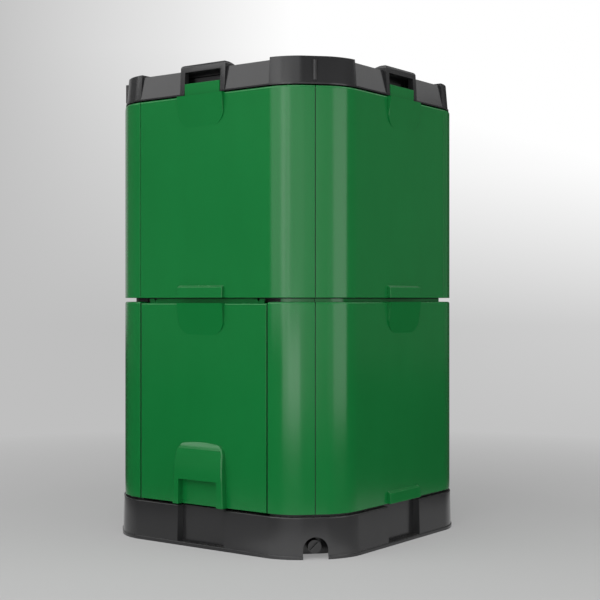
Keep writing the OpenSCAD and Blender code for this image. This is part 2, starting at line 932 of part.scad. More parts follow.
// Base: drafted skirt with a foot flange, a deck, a sump and a drain notch
sump_t = 3;
sump_wall_in = sump_in - sump_t;
base_draft = 2;
rib_z = 2;
grille_seat_w = 9;
grille_seat_in = sump_in - grille_seat_w;
grille_drop = 8;
grille_z = base_h - grille_drop;
grille_top_z = grille_z + grille_t;
notch_h = 22;
notch_in = 8;
RIB_ANGLES = [for (i = [0:7]) 22.5 + 45 * i];
module base_tray() {
    color(dark) {
        difference() {
            union() {
                hull() {
                    slab(-rim_out, base_h - draft_slab, base_h);
                    slab(-rim_out - base_draft, flange_h, flange_h + draft_slab);
                }
                slab(-flange_out, 0, flange_h);
            }
            // recess in each side
            for (k = FACES)
                on_side(k, -recess_half, -rim_out - recess_d, flange_h)
                    cube([2 * recess_half, 2 * recess_d, base_h]);
            // hollow under the deck, round the sump
            difference() {
                slab(base_t - rim_out, -bite, base_h - deck_t);
                slab(sump_wall_in, -2 * bite, base_h);
                for (k = FACES)
                    on_side(k, -recess_half - base_t, -reach / 2, -2 * bite)
                        cube([2 * (recess_half + base_t), reach / 2 + recess_d - rim_out + base_t, base_h]);
                for (a = RIB_ANGLES)
                    rotate(a)
                        translate([0, -base_t / 2, rib_z])
                            cube([reach, base_t, base_h]);
            }
            slab(sump_in, sump_floor_z, base_h + bite);
            slab(grille_seat_in, grille_z, base_h + bite);
            slab(sump_in, -bite, sump_floor_z - base_t);
            drain_axis(sump_wall_in - bite, sump_in + bite, thread_r + peg_gap);
            // arched notch round the tap
            through(DRAIN_SIDE, -flange_out - bite, notch_in)
                union() {
                    translate([-notch_half, -bite])
                        square([2 * notch_half, notch_h + bite]);
                    translate([0, notch_h])
                        circle(notch_half);
                }
        }
        pegs(LOWER_PEGS, base_peg_in, base_h - deck_t, deck_t + peg_h, peg_r);
    }
}

// Grille with rows of slots, each inside the rim and clear of the foot of the column
grille_rim = 30;
slot_columns = 4;
slot_bridge = 22;
rim_in = grille_seat_in + grille_rim;
slot_step = 2 * (wall_half - rim_in) / slot_columns;
slot_l = slot_step - slot_bridge;
grille_rib_end = 71;
grille_rib_l = 2 * (wall_half - rim_in - grille_rib_end);
grille_rib_h = 18;
foot_out = 5;
foot_r = column_r + foot_out;
module grille_slots() {
    rows = floor((wall_half - rim_in) / slot_pitch);
    for (j = [-rows:rows])
        for (i = [1:slot_columns]) {
            x = (i - (slot_columns + 1) / 2) * slot_step;
            y = j * slot_pitch;
            near = abs(x) - slot_l / 2;
            far = abs(x) + slot_l / 2;
            if (far + abs(y) < 2 * wall_half - corner_cut - rim_in * sqrt(2) && norm([near, y]) > foot_r + slot_w)
                translate([x - slot_l / 2, y - slot_w / 2, grille_z - bite])
                    cube([slot_l, slot_w, grille_t + 2 * bite]);
        }
}

module floor_grille() {
    color(dark)
        difference() {
            union() {
                slab(grille_seat_in + grille_gap, grille_z, grille_top_z);
                for (x = [-slot_step, 0, slot_step])
                    translate([x - base_t / 2, -grille_rib_l / 2, grille_z - grille_rib_h])
                        cube([base_t, grille_rib_l, grille_rib_h + bite]);
            }
            grille_slots();
        }
}

// Drain tap on the corner: everything on it runs along the corner's axis
DRAIN_SIDE = 1;
washer_t = 2;
tap_flange_t = 4;
tap_flange = 5;
tap_flange_r = tap_r + tap_flange;
washer_edge = 1;
tap_front_in = 23;
tap_thread_l = 15;
nut_t = 8;
nut_wall = 6;
port_depth = 16;
port_in = tap_front_in + port_depth;
port_r = 6;
plug_port_r = 5;
plug_l = 28;
plug_back_in = tap_front_in + plug_l;
knob_t = 12;
knob_edge = 1;
knob_r = tap_r + knob_edge;
grip_tilt = 45;
grip_end = 3;
grip_bar = [6, 5, 2 * (knob_r - grip_end)];
module drain_axis(in0, in1, r) {
    on_side(DRAIN_SIDE, 0, in1, tap_z)
        rotate([90, 0, 0])
            cylinder(r = r, h = in1 - in0);
}

module drain_washer() {
    color(black)
        difference() {
            drain_axis(sump_wall_in - washer_t, sump_wall_in, tap_flange_r - washer_edge);
            drain_axis(sump_wall_in - washer_t - bite, sump_wall_in + bite, thread_r + peg_gap);
        }
}

module drain_body() {
    face = sump_wall_in - washer_t;
    end = sump_in + tap_thread_l;
    color(black)
        difference() {
            union() {
                drain_axis(face - tap_flange_t, face, tap_flange_r);
                drain_axis(tap_front_in, face, tap_r);
                drain_axis(face - bite, end, thread_r);
            }
            drain_axis(tap_front_in - bite, plug_back_in + face_gap, plug_r + run_gap);
            drain_axis(tap_front_in, end + bite, port_r);
            on_side(DRAIN_SIDE, 0, port_in, 0)
                cylinder(r = port_r, h = tap_z);
        }
}

module drain_nut() {
    color(black)
        difference() {
            on_side(DRAIN_SIDE, 0, sump_in + nut_t, tap_z)
                rotate([90, 0, 0])
                    cylinder(r = thread_r + nut_wall, h = nut_t, $fn = 6);
            drain_axis(sump_in - bite, sump_in + nut_t + bite, thread_r + run_gap);
        }
}

// Turning knob with a hollow plug: the plug's port faces down when the tap is open
module drain_valve() {
    knob_in = tap_front_in - face_gap;
    color(black)
        difference() {
            union() {
                drain_axis(knob_in - knob_t, knob_in, knob_r);
                drain_axis(knob_in - bite, plug_back_in, plug_r);
                on_side(DRAIN_SIDE, 0, knob_in - knob_t, tap_z)
                    rotate([0, grip_tilt, 0])
                        translate([-grip_bar[0] / 2, -grip_bar[1], -grip_bar[2] / 2])
                            cube([grip_bar[0], grip_bar[1] + bite, grip_bar[2]]);
            }
            drain_axis(knob_in + port_r, plug_back_in + bite, port_r);
            on_side(DRAIN_SIDE, 0, port_in, tap_z)
                rotate([0, 90, 0])
                    cylinder(r = plug_port_r, h = tap_r);
        }
}

// Aeration column on the grille: perforated tube, four hollow fins and a domed cap
foot_t = 4;
spigot_h = 24;
spigot_t = 6;
spigot_r = column_r - column_t - peg_gap;
column_z = grille_top_z + foot_t;
cap_h = 20;
column_h = deck_under_z - plug_h - lid_room - cap_h - column_z;
fin_h = column_h - fin_drop;
lug_w = 6;
lug_root = 2;
fin_start = column_r + lug_w;
fin_skin = 2.5;
fin_air_z = 30;
column_air_z = 40;
module core_foot() {
    color(dark)
        translate([0, 0, grille_top_z])
            difference() {
                union() {
                    cylinder(r = foot_r, h = foot_t);
                    cylinder(r = spigot_r, h = spigot_h);
                }
                translate([0, 0, -bite])
                    cylinder(r = spigot_r - spigot_t, h = spigot_h + 2 * bite);
            }
}

// The lugs on the column carry the fins
module core_column() {
    rows = floor((column_h - 2 * column_air_z) / air_pitch);
    color(dark)
        translate([0, 0, column_z])
            difference() {
                union() {
                    cylinder(r = column_r, h = column_h);
                    for (a = [45:90:315])
                        rotate(a)
                            translate([column_r - lug_root, -fin_t / 2, 0])
                                cube([lug_root + lug_w, fin_t, fin_h]);
                }
                translate([0, 0, -bite])
                    cylinder(r = column_r - column_t, h = column_h + 2 * bite);
                for (j = [0:rows])
                    for (a = [0, 90])
                        translate([0, 0, column_air_z + j * air_pitch])
                            rotate([90, 0, a])
                                cylinder(d = air_d, h = 3 * column_r, center = true);
            }
}

cap_plug_h = 14;
cap_out = 3;
cap_rim = 6;
cap_shoulder = [14, 16];
CAP_DOME = [[0, 0], [column_r + cap_out, 0], [column_r + cap_out, cap_rim],
    [column_r - cap_shoulder[0], cap_shoulder[1]], [0, cap_h]];
module core_cap() {
    color(dark)
        translate([0, 0, column_z + column_h]) {
            rotate_extrude()
                polygon(CAP_DOME);
            translate([0, 0, -cap_plug_h])
                cylinder(r = spigot_r, h = cap_plug_h + bite);
        }
}

// Hollow fin: two perforated walls closed all round
module core_fin(angle) {
    rows = floor((fin_h - 2 * fin_air_z) / air_pitch);
    color(dark)
        rotate(angle)
            translate([fin_start, -fin_t / 2, grille_top_z])
                difference() {
                    cube([fin_w, fin_t, fin_h]);
                    translate([fin_skin, fin_skin, fin_skin])
                        cube([fin_w - 2 * fin_skin, fin_t - 2 * fin_skin, fin_h - 2 * fin_skin]);
                    for (j = [0:rows])
                        for (i = [0:2])
                            translate([fin_w * (i + 0.5) / 3, -bite, fin_air_z + j * air_pitch])
                                rotate([-90, 0, 0])
                                    cylinder(d = air_d, h = fin_t + 2 * bite);
                }
}

module core_fin_front_left() { core_fin(225); }
module core_fin_front_right() { core_fin(315); }
module core_fin_back_left() { core_fin(135); }
module core_fin_back_right() { core_fin(45); }

base_tray();
floor_grille();
drain_body();
drain_washer();
drain_nut();
drain_valve();
core_foot();
core_column();
core_cap();
core_fin_front_left();
core_fin_front_right();
core_fin_back_left();
core_fin_back_right();
lower_left_skin();
lower_left_foam();
lower_left_liner();
lower_right_skin();
lower_right_foam();
lower_right_liner();
front_post_skin();
front_post_foam();
front_post_liner();
back_post_skin();
back_post_foam();
back_post_liner();
tier_ring();
upper_front_skin();
upper_front_foam();
upper_front_liner();
upper_right_skin();
upper_right_foam();
upper_right_liner();
upper_back_skin();
upper_back_foam();
upper_back_liner();
upper_left_skin();
upper_left_foam();
upper_left_liner();
seam_keys();
lid_hinge_pin();
lid_shell();
lid_foam();
lid_liner();
lid_screws();
front_door_skin();
front_door_foam();
front_door_liner();
front_door_pins();
back_door_skin();
back_door_foam();
back_door_liner();
back_door_pins();
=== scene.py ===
"""Dresses the hot composter: new skins, doors, lid and base, a finish for every piece, and a studio."""

import json
import logging
import math
from dataclasses import dataclass, field
from enum import Enum
from typing import Any, Callable, Iterable, Optional, Sequence

import bpy
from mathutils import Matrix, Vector
from mathutils.geometry import intersect_point_line


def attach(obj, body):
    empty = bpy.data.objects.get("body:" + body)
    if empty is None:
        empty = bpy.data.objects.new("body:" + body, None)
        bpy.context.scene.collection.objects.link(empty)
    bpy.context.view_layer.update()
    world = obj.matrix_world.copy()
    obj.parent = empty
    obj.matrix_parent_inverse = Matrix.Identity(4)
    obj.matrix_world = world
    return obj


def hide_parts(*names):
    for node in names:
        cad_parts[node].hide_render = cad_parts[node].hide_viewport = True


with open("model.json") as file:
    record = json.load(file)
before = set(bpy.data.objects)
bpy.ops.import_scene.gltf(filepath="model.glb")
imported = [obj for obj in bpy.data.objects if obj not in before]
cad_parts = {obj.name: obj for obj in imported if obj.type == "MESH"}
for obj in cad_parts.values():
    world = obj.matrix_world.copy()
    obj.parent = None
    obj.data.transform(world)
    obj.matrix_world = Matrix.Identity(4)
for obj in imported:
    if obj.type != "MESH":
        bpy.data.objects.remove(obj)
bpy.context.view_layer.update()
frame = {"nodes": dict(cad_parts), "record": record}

log = logging.getLogger("composter")

MM = 0.001
# The bin's sides run anticlockwise from the front: even ones are faces, odd ones corners
FRONT, BACK = 0, 4
FACES = (0, 2, 4, 6)
CORNERS = (1, 3, 5, 7)
TAP_CORNER = 1
TURN = math.radians(45)
# Spin turns clockwise for a positive angle about +Z
SPIN = -TURN
# Moves of a boolean's tool, tried in turn where its faces lie too close to others
NUDGES = (0.0, 0.013 * MM, 0.037 * MM)
# A boolean that makes the box of a piece smaller by this much has failed
LOST = 2 * MM
# Points closer than this are one
DOUBLES = 0.005 * MM
# Edges flatter than this look smooth, in degrees
SMOOTH = 40

# A test on an edge's two ends, or on a face's middle and normal
Test = Callable[[Vector, Vector], bool]
Pair = tuple[float, float]
# First side, last side, start along the first, stop along the last
Run = tuple[int, int, float, float]
Colour = tuple[float, float, float, float]


class Slot(Enum):
    """Material slots of the record."""

    GREEN = "green_skin"
    SHELL = "dark_shell"
    LINER = "dark_liner"
    FITTING = "black_fitting"
    FOAM = "foam"
    STEEL = "steel"
    SEAL = "seal"


class Body(Enum):
    """Bodies that the pieces ride on."""

    BIN = "bin"
    LID = "lid"
    FRONT_DOOR = "front_door"
    BACK_DOOR = "back_door"


# Finishes


@dataclass(frozen=True)
class Pattern:
    """Soft random pattern: cells in a metre, layers of finer noise, their strength, scale on each axis."""

    scale: float
    detail: float = 2.0
    rough: float = 0.5
    stretch: tuple[float, float, float] = (1.0, 1.0, 1.0)


class Val:
    """A socket that carries a value, with arithmetic that adds Math nodes."""

    def __init__(self, tree: "Tree", socket: bpy.types.NodeSocket) -> None:
        """Wraps a socket of a tree."""
        self.tree = tree
        self.socket = socket

    def _with(self, operation: str, first: Any, second: Any) -> "Val":
        """Adds a Math node.

        Args:
            operation: The node's operation.
            first: Its first value or link.
            second: Its second value or link.

        Returns:
            The node's result.
        """
        return self.tree.node("ShaderNodeMath", {"operation": operation}, {0: first, 1: second})

    def __add__(self, other: Any) -> "Val":
        """Sum."""
        return self._with("ADD", self, other)

    __radd__ = __add__

    def __sub__(self, other: Any) -> "Val":
        """Difference."""
        return self._with("SUBTRACT", self, other)

    def __rsub__(self, other: Any) -> "Val":
        """Difference from a number."""
        return self._with("SUBTRACT", other, self)

    def __mul__(self, other: Any) -> "Val":
        """Product."""
        return self._with("MULTIPLY", self, other)

    __rmul__ = __mul__

    def __truediv__(self, other: Any) -> "Val":
        """Quotient."""
        return self._with("DIVIDE", self, other)

    def size(self) -> "Val":
        """Value without its sign."""
        return self._with("ABSOLUTE", self, 0.0)

    def between(self, low: float, high: float) -> "Val":
        """Share of the way from low to high, held to 0 and 1.

        Args:
            low: Value that gives 0.
            high: Value that gives 1.

        Returns:
            The share.
        """
        ends = {0: self, 1: low, 2: high, 3: 0.0, 4: 1.0}
        return self.tree.node("ShaderNodeMapRange", {"clamp": True}, ends)


class Tree:
    """The node tree of one material, built by expressions."""

    def __init__(self, name: str) -> None:
        """Starts a material with an empty tree.

        Args:
            name: The material's name.
        """
        self.material = bpy.data.materials.new(name)
        self.material.use_nodes = True
        self.nodes = self.material.node_tree.nodes
        self.nodes.clear()

    def node(self, kind: str, settings: dict[str, Any], inputs: dict[Any, Any], out: Any = 0) -> Val:
        """Adds a node.

        Args:
            kind: The node's type.
            settings: Its properties, set first.
            inputs: Values or links of its sockets, by index or name.
            out: Index or name of the output that is wanted.

        Returns:
            That output.
        """
        made = self.nodes.new(kind)
        for key, value in settings.items():
            setattr(made, key, value)
        for key, value in inputs.items():
            if isinstance(value, Val):
                self.material.node_tree.links.new(value.socket, made.inputs[key])
            else:
                made.inputs[key].default_value = value
        return Val(self, made.outputs[out])

    def place(self) -> Val:
        """Where on the piece, in metres."""
        return self.node("ShaderNodeTexCoord", {}, {}, "Object")

    def axis(self, place: Val, letter: str) -> Val:
        """One coordinate of a place.

        Args:
            place: The place.
            letter: X, Y or Z.

        Returns:
            The coordinate.
        """
        return self.node("ShaderNodeSeparateXYZ", {}, {0: place}, letter)

    def noise(self, pattern: Pattern) -> Val:
        """A soft random pattern, about 0.5.

        Args:
            pattern: Its size and grain.

        Returns:
            The pattern.
        """
        place = self.node("ShaderNodeMapping", {}, {"Vector": self.place(), "Scale": pattern.stretch})
        grains = {"Scale": pattern.scale, "Detail": pattern.detail, "Roughness": pattern.rough}
        return self.node("ShaderNodeTexNoise", {}, {"Vector": place, **grains})

    def blend(self, share: Val, first: Any, second: Any) -> Val:
        """Mix of two colours.

        Args:
            share: How much of the second.
            first: Colour or link.
            second: Colour or link.

        Returns:
            The colour.
        """
        # The node's sockets 6 and 7 and its output 2 are those for colours
        return self.node("ShaderNodeMix", {"data_type": "RGBA"}, {0: share, 6: first, 7: second}, 2)

    def bump(self, height: Val, depth: float, under: Optional[Val] = None) -> Val:
        """Relief.

        Args:
            height: Its pattern, from 0 to 1.
            depth: Its depth in metres.
            under: Relief that it lies on.

        Returns:
            The normal.
        """
        inputs: dict[Any, Any] = {"Height": height, "Distance": depth, "Strength": 1.0}
        if under is not None:
            inputs["Normal"] = under
        return self.node("ShaderNodeBump", {}, inputs)

    def surface(self, **inputs: Any) -> bpy.types.Material:
        """Ends the tree in a Principled shader.

        Args:
            inputs: Values or links of its sockets, with _ for spaces.

        Returns:
            The material.
        """
        named = {key.replace("_", " "): value for key, value in inputs.items()}
        self.end(self.node("ShaderNodeBsdfPrincipled", {}, named))
        return self.material

    def end(self, shader: Val) -> None:
        """Links a shader to the material's output."""
        out = self.nodes.new("ShaderNodeOutputMaterial")
        self.material.node_tree.links.new(shader.socket, out.inputs["Surface"])


def colour(red: int, green: int, blue: int) -> Colour:
    """Linear colour of a screen colour.

    Args:
        red: 0 to 255.
        green: 0 to 255.
        blue: 0 to 255.

    Returns:
        The colour, with alpha 1.
    """
    def linear(part: int) -> float:
        """One channel."""
        share = part / 255
        return share / 12.92 if share <= 0.04045 else ((share + 0.055) / 1.055) ** 2.4

    return (linear(red), linear(green), linear(blue), 1.0)


def shaded(base: Colour, share: float) -> Colour:
    """A colour made darker, to a share of its light."""
    return (base[0] * share, base[1] * share, base[2] * share, 1.0)


@dataclass(frozen=True)
class MouldedPlastic:
    """Injection-moulded plastic: fine grain, waves of the tool, rubbed patches and dust that lies on top.

    Depths are in metres. A pair gives the ends between which a mask fades in.
    """

    name: str
    base: Colour
    worn: Colour
    roughness: float
    grain: Pattern = Pattern(900.0, rough=0.6)
    grain_depth: float = 0.00003
    grain_rough: float = 0.05
    wave: Pattern = Pattern(3.2, 3.0, 0.55)
    wave_depth: float = 0.0003
    wave_rough: float = 0.12
    flow: Pattern = Pattern(14.0, stretch=(1.0, 1.0, 0.25))
    flow_share: float = 0.4
    worn_in: Pair = (0.35, 0.7)
    dust: Colour = field(default_factory=lambda: colour(150, 148, 138))
    dusty: float = 0.08
    dust_patch: Pattern = Pattern(26.0, 4.0, 0.65)
    dust_in: Pair = (0.38, 0.7)
    dust_rough: float = 0.2
    level_in: Pair = (0.55, 1.0)
    index: float = 1.48

    def make(self) -> bpy.types.Material:
        """Builds the material.

        Returns:
            The material.
        """
        tree = Tree(self.name)
        wave = tree.noise(self.wave)
        flow = tree.noise(self.flow)
        fine = tree.noise(self.grain)
        rubbed = (wave * (1 - self.flow_share) + flow * self.flow_share).between(*self.worn_in)
        upward = tree.axis(tree.node("ShaderNodeTexCoord", {}, {}, "Normal"), "Z")
        patch = tree.noise(self.dust_patch)
        lying = upward.between(*self.level_in) * patch.between(*self.dust_in)
        tone = tree.blend(lying * self.dusty, tree.blend(rubbed, self.base, self.worn), self.dust)
        # Noise is about 0.5, so half of its strength is taken off again
        even = self.roughness - (self.wave_rough + self.grain_rough) / 2
        rough = wave * self.wave_rough + fine * self.grain_rough + lying * self.dust_rough + even
        rough = rough.between(0.0, 1.0)
        relief = tree.bump(fine, self.grain_depth, tree.bump(wave, self.wave_depth))
        return tree.surface(Base_Color=tone, Roughness=rough, Normal=relief, IOR=self.index)


@dataclass(frozen=True)
class BeadFoam:
    """Foam of pressed beads, lower at their seams, where painted shade darkens them."""

    name: str = "bead foam"
    base: Colour = field(default_factory=lambda: colour(226, 221, 208))
    beads: float = 230.0
    seam_width: float = 0.25
    # Painted shade: share of the foam's colour left in the sunken seams
    seam_painted_shade: float = 0.72
    seam_depth: float = 0.0004
    seam_rough: float = 0.1
    roughness: float = 0.75

    def make(self) -> bpy.types.Material:
        """Builds the material.

        Returns:
            The material.
        """
        tree = Tree(self.name)
        inputs = {"Vector": tree.place(), "Scale": self.beads}
        bead = tree.node("ShaderNodeTexVoronoi", {"feature": "DISTANCE_TO_EDGE"}, inputs)
        bulge = bead.between(0.0, self.seam_width)
        # Painted shade: the seams between the beads get the darker colour
        shade = tree.blend(bulge, shaded(self.base, self.seam_painted_shade), self.base)
        rough = (1.0 - bulge) * self.seam_rough + self.roughness
        return tree.surface(Base_Color=shade, Roughness=rough, Normal=tree.bump(bulge, self.seam_depth))


@dataclass(frozen=True)
class TurnedSteel:
    """Steel pins and screws with fine rings from the lathe and a dull bloom."""

    name: str = "turned steel"
    base: Colour = field(default_factory=lambda: colour(186, 189, 193))
    rings: Pattern = Pattern(700.0, stretch=(4.0, 0.3, 0.3))
    ring_depth: float = 0.00002
    ring_rough: float = 0.1
    bloom: Pattern = Pattern(60.0, 3.0, 0.6)
    bloom_in: Pair = (0.45, 0.75)
    bloom_share: float = 0.5
    bloom_shade: float = 0.6
    bloom_rough: float = 0.2
    roughness: float = 0.2

    def make(self) -> bpy.types.Material:
        """Builds the material.

        Returns:
            The material.
        """
        tree = Tree(self.name)
        rings = tree.noise(self.rings)
        bloom = tree.noise(self.bloom).between(*self.bloom_in)
        shade = tree.blend(bloom * self.bloom_share, self.base, shaded(self.base, self.bloom_shade))
        rough = bloom * self.bloom_rough + rings * self.ring_rough + self.roughness
        relief = tree.bump(rings, self.ring_depth)
        return tree.surface(Base_Color=shade, Metallic=1.0, Roughness=rough, Normal=relief)


@dataclass(frozen=True)
class SoftSeal:
    """Rubber washer with a pale bloom."""

    name: str = "washer rubber"
    base: Colour = field(default_factory=lambda: colour(30, 30, 31))
    pale: Colour = field(default_factory=lambda: colour(52, 51, 50))
    bloom: Pattern = Pattern(90.0, 3.0, 0.6)
    bloom_in: Pair = (0.4, 0.8)
    bloom_depth: float = 0.00005
    bloom_rough: float = 0.15
    roughness: float = 0.7

    def make(self) -> bpy.types.Material:
        """Builds the material.

        Returns:
            The material.
        """
        tree = Tree(self.name)
        bloom = tree.noise(self.bloom).between(*self.bloom_in)
        shade = tree.blend(bloom, self.base, self.pale)
        rough = bloom * self.bloom_rough + self.roughness
        return tree.surface(Base_Color=shade, Roughness=rough, Normal=tree.bump(bloom, self.bloom_depth))


FINISHES = {
    Slot.GREEN: MouldedPlastic("green plastic", colour(13, 111, 50), colour(15, 115, 53), 0.17),
    Slot.SHELL: MouldedPlastic("dark grey plastic", colour(39, 39, 40), colour(43, 43, 44), 0.2, dusty=0.07),
    Slot.LINER: MouldedPlastic("liner plastic", colour(42, 42, 43), colour(52, 52, 53), 0.5),
    Slot.FITTING: MouldedPlastic(
        "black plastic", colour(20, 20, 21), colour(30, 30, 31), 0.35, grain=Pattern(1500.0, rough=0.6)
    ),
    Slot.FOAM: BeadFoam(),
    Slot.STEEL: TurnedSteel(),
    Slot.SEAL: SoftSeal(),
}


# Workshop


def deselect() -> None:
    """Leaves nothing selected and no mode but object mode."""
    if bpy.context.object and bpy.context.object.mode != "OBJECT":
        bpy.ops.object.mode_set(mode="OBJECT")
    bpy.ops.object.select_all(action="DESELECT")


class Work:
    """One mesh on the bench, shaped in edit mode."""

    def __init__(self, obj: bpy.types.Object) -> None:
        """Takes an object that was just added, and applies its place to its mesh.

        Args:
            obj: The object.
        """
        self.obj = obj
        self.pick()
        bpy.ops.object.transform_apply(location=True, rotation=True, scale=True)

    @staticmethod
    def cube(low: Sequence[float], high: Sequence[float]) -> "Work":
        """A block between two corners.

        Args:
            low: Lowest corner.
            high: Highest corner.

        Returns:
            The block.
        """
        deselect()
        middle = [(a + b) / 2 for a, b in zip(low, high)]
        bpy.ops.mesh.primitive_cube_add(size=1, location=middle)
        bpy.context.object.scale = [b - a for a, b in zip(low, high)]
        return Work(bpy.context.object)

    @staticmethod
    def rod(start: Vector, stop: Vector, radius: float, sides: int = 48) -> "Work":
        """A cylinder between two points.

        Args:
            start: Middle of its first end.
            stop: Middle of its other end.
            radius: Its radius.
            sides: Faces round it.

        Returns:
            The cylinder.
        """
        deselect()
        along = stop - start
        bpy.ops.mesh.primitive_cylinder_add(
            vertices=sides, radius=radius, depth=along.length, location=(start + stop) / 2,
            rotation=along.to_track_quat("Z", "Y").to_euler(),
        )
        return Work(bpy.context.object)

    @staticmethod
    def traced(points: Sequence[Vector]) -> "Work":
        """A flat face whose outline is traced point by point.

        Args:
            points: Its corners in order.

        Returns:
            The face.
        """
        deselect()
        bpy.ops.mesh.primitive_plane_add(size=10 * MM, location=points[0])
        work = Work(bpy.context.object)
        # The plane's corners are merged to the first point, and the others are extruded from it
        bpy.ops.object.mode_set(mode="EDIT")
        bpy.ops.mesh.select_mode(type="VERT")
        bpy.ops.mesh.select_all(action="SELECT")
        bpy.ops.mesh.merge(type="CENTER")
        for before, after in zip(points, points[1:]):
            bpy.ops.mesh.extrude_vertices_move(TRANSFORM_OT_translate={"value": after - before})
        bpy.ops.mesh.select_all(action="SELECT")
        bpy.ops.mesh.edge_face_add()
        bpy.ops.object.mode_set(mode="OBJECT")
        return work

    def pick(self) -> None:
        """Makes this the only selected object."""
        deselect()
        self.obj.select_set(True)
        bpy.context.view_layer.objects.active = self.obj

    def edit(self, mode: str) -> None:
        """Opens the mesh with nothing selected.

        Args:
            mode: VERT, EDGE or FACE.
        """
        self.pick()
        bpy.ops.object.mode_set(mode="EDIT")
        bpy.ops.mesh.select_mode(type=mode)
        bpy.ops.mesh.select_all(action="DESELECT")
        bpy.ops.object.mode_set(mode="OBJECT")

    def faces(self, test: Test) -> None:
        """Selects faces and opens the mesh.

        Args:
            test: Says from a face's middle and normal whether it is wanted.
        """
        self.edit("FACE")
        for face in self.obj.data.polygons:
            face.select = test(face.center, face.normal)
        bpy.ops.object.mode_set(mode="EDIT")

    def edges(self, test: Test) -> int:
        """Selects edges and opens the mesh.

        Args:
            test: Says from an edge's two ends whether it is wanted.

        Returns:
            How many were selected.
        """
        self.edit("EDGE")
        count = 0
        points = self.obj.data.vertices
        for edge in self.obj.data.edges:
            edge.select = test(points[edge.vertices[0]].co, points[edge.vertices[1]].co)
            count += edge.select
        bpy.ops.object.mode_set(mode="EDIT")
        return count

    def extrude(self, along: Sequence[float]) -> None:
        """Extrudes what is selected, in edit mode."""
        bpy.ops.mesh.extrude_region_move(TRANSFORM_OT_translate={"value": along})

    def close(self) -> "Work":
        """Leaves edit mode."""
        bpy.ops.object.mode_set(mode="OBJECT")
        return self

    def round_edges(self, test: Test, offset: float, segments: int = 8) -> "Work":
        """Bevels the chosen edges.

        Args:
            test: Says from an edge's two ends whether it is wanted.
            offset: How far the bevel reaches along each face.
            segments: Faces in the bevel.

        Returns:
            This work.
        """
        if self.edges(test):
            bpy.ops.mesh.bevel(offset=offset, segments=segments, profile=0.5, affect="EDGES")
        return self.close()

    def cut(self, point: Vector, normal: Vector) -> "Work":
        """Cuts off what lies beyond a plane and closes the cut.

        Args:
            point: A point on the plane.
            normal: Towards what is cut off.

        Returns:
            This work.
        """
        self.pick()
        bpy.ops.object.mode_set(mode="EDIT")
        bpy.ops.mesh.select_all(action="SELECT")
        bpy.ops.mesh.bisect(plane_co=point, plane_no=normal, use_fill=True, clear_outer=True)
        return self.close()

    def modify(self, kind: str, **settings: Any) -> "Work":
        """Adds a modifier and applies it.

        Args:
            kind: Its type.
            settings: Its properties.

        Returns:
            This work.
        """
        self.pick()
        modifier = self.obj.modifiers.new(kind, kind)
        for key, value in settings.items():
            setattr(modifier, key, value)
        bpy.ops.object.modifier_apply(modifier=modifier.name)
        return self

    def _boolean(self, tool: "Work", operation: str) -> "Work":
        """Joins, cuts or meets another work, which is used up.

        Where the result loses a part of this work's box, it is tried again with the tool moved a little.

        Args:
            tool: The other work.
            operation: The modifier's operation.

        Returns:
            This work.
        """
        spare = self.obj.data.copy()
        reach = self.reach()
        for nudge in NUDGES:
            tool.obj.location = (nudge, 0.7 * nudge, 0.4 * nudge)
            self.modify("BOOLEAN", object=tool.obj, operation=operation, solver="EXACT")
            if operation == "INTERSECT" or self.reach() > reach - LOST:
                break
            log.info("%s of %s is tried again", operation, tool.obj.name)
            self.obj.data = spare.copy()
        bpy.data.objects.remove(tool.obj)
        return self

    def reach(self) -> float:
        """Diagonal of the box round this work."""
        corners = [Vector(corner) for corner in self.obj.bound_box]
        return (corners[6] - corners[0]).length

    def add(self, tool: "Work") -> "Work":
        """Union with another work."""
        return self._boolean(tool, "UNION")

    def cut_out(self, tool: "Work") -> "Work":
        """This work less another."""
        return self._boolean(tool, "DIFFERENCE")

    def keep_in(self, tool: "Work") -> "Work":
        """What both works share."""
        return self._boolean(tool, "INTERSECT")

    def soften(self, width: float, segments: int = 2, angle: float = 35.0) -> "Work":
        """Rounds all sharp edges.

        Args:
            width: Reach of the rounding.
            segments: Faces in it.
            angle: Edges sharper than this are rounded.

        Returns:
            This work.
        """
        return self.modify(
            "BEVEL", width=width, segments=segments, limit_method="ANGLE", angle_limit=math.radians(angle),
            miter_outer="MITER_ARC", use_clamp_overlap=True,
        )

    def tidy(self) -> "Work":
        """Merges doubles and turns all faces outwards.

        Returns:
            This work.
        """
        self.pick()
        bpy.ops.object.mode_set(mode="EDIT")
        bpy.ops.mesh.select_all(action="SELECT")
        bpy.ops.mesh.remove_doubles(threshold=DOUBLES)
        bpy.ops.mesh.normals_make_consistent(inside=False)
        return self.close()

    def finish(self, name: str, body: Body, slot: Slot, *nodes: str) -> "Work":
        """Names the piece, gives it its finish and its body, and hides what it stands for.

        Args:
            name: The piece's name.
            body: What it rides on.
            slot: Its finish.
            nodes: CAD nodes that it stands for.

        Returns:
            This work.
        """
        self.tidy()
        bpy.ops.object.shade_smooth_by_angle(angle=math.radians(SMOOTH))
        self.modify("WEIGHTED_NORMAL", mode="FACE_AREA", weight=50, keep_sharp=True)
        self.obj.name = name
        self.obj.data.name = name
        self.obj.data.materials.clear()
        self.obj.data.materials.append(DRESS.material(slot))
        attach(self.obj, body.value)
        if nodes:
            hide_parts(*nodes)
        log.info("%s: %d faces on %s", name, len(self.obj.data.polygons), body.value)
        return self


# The bin's plan


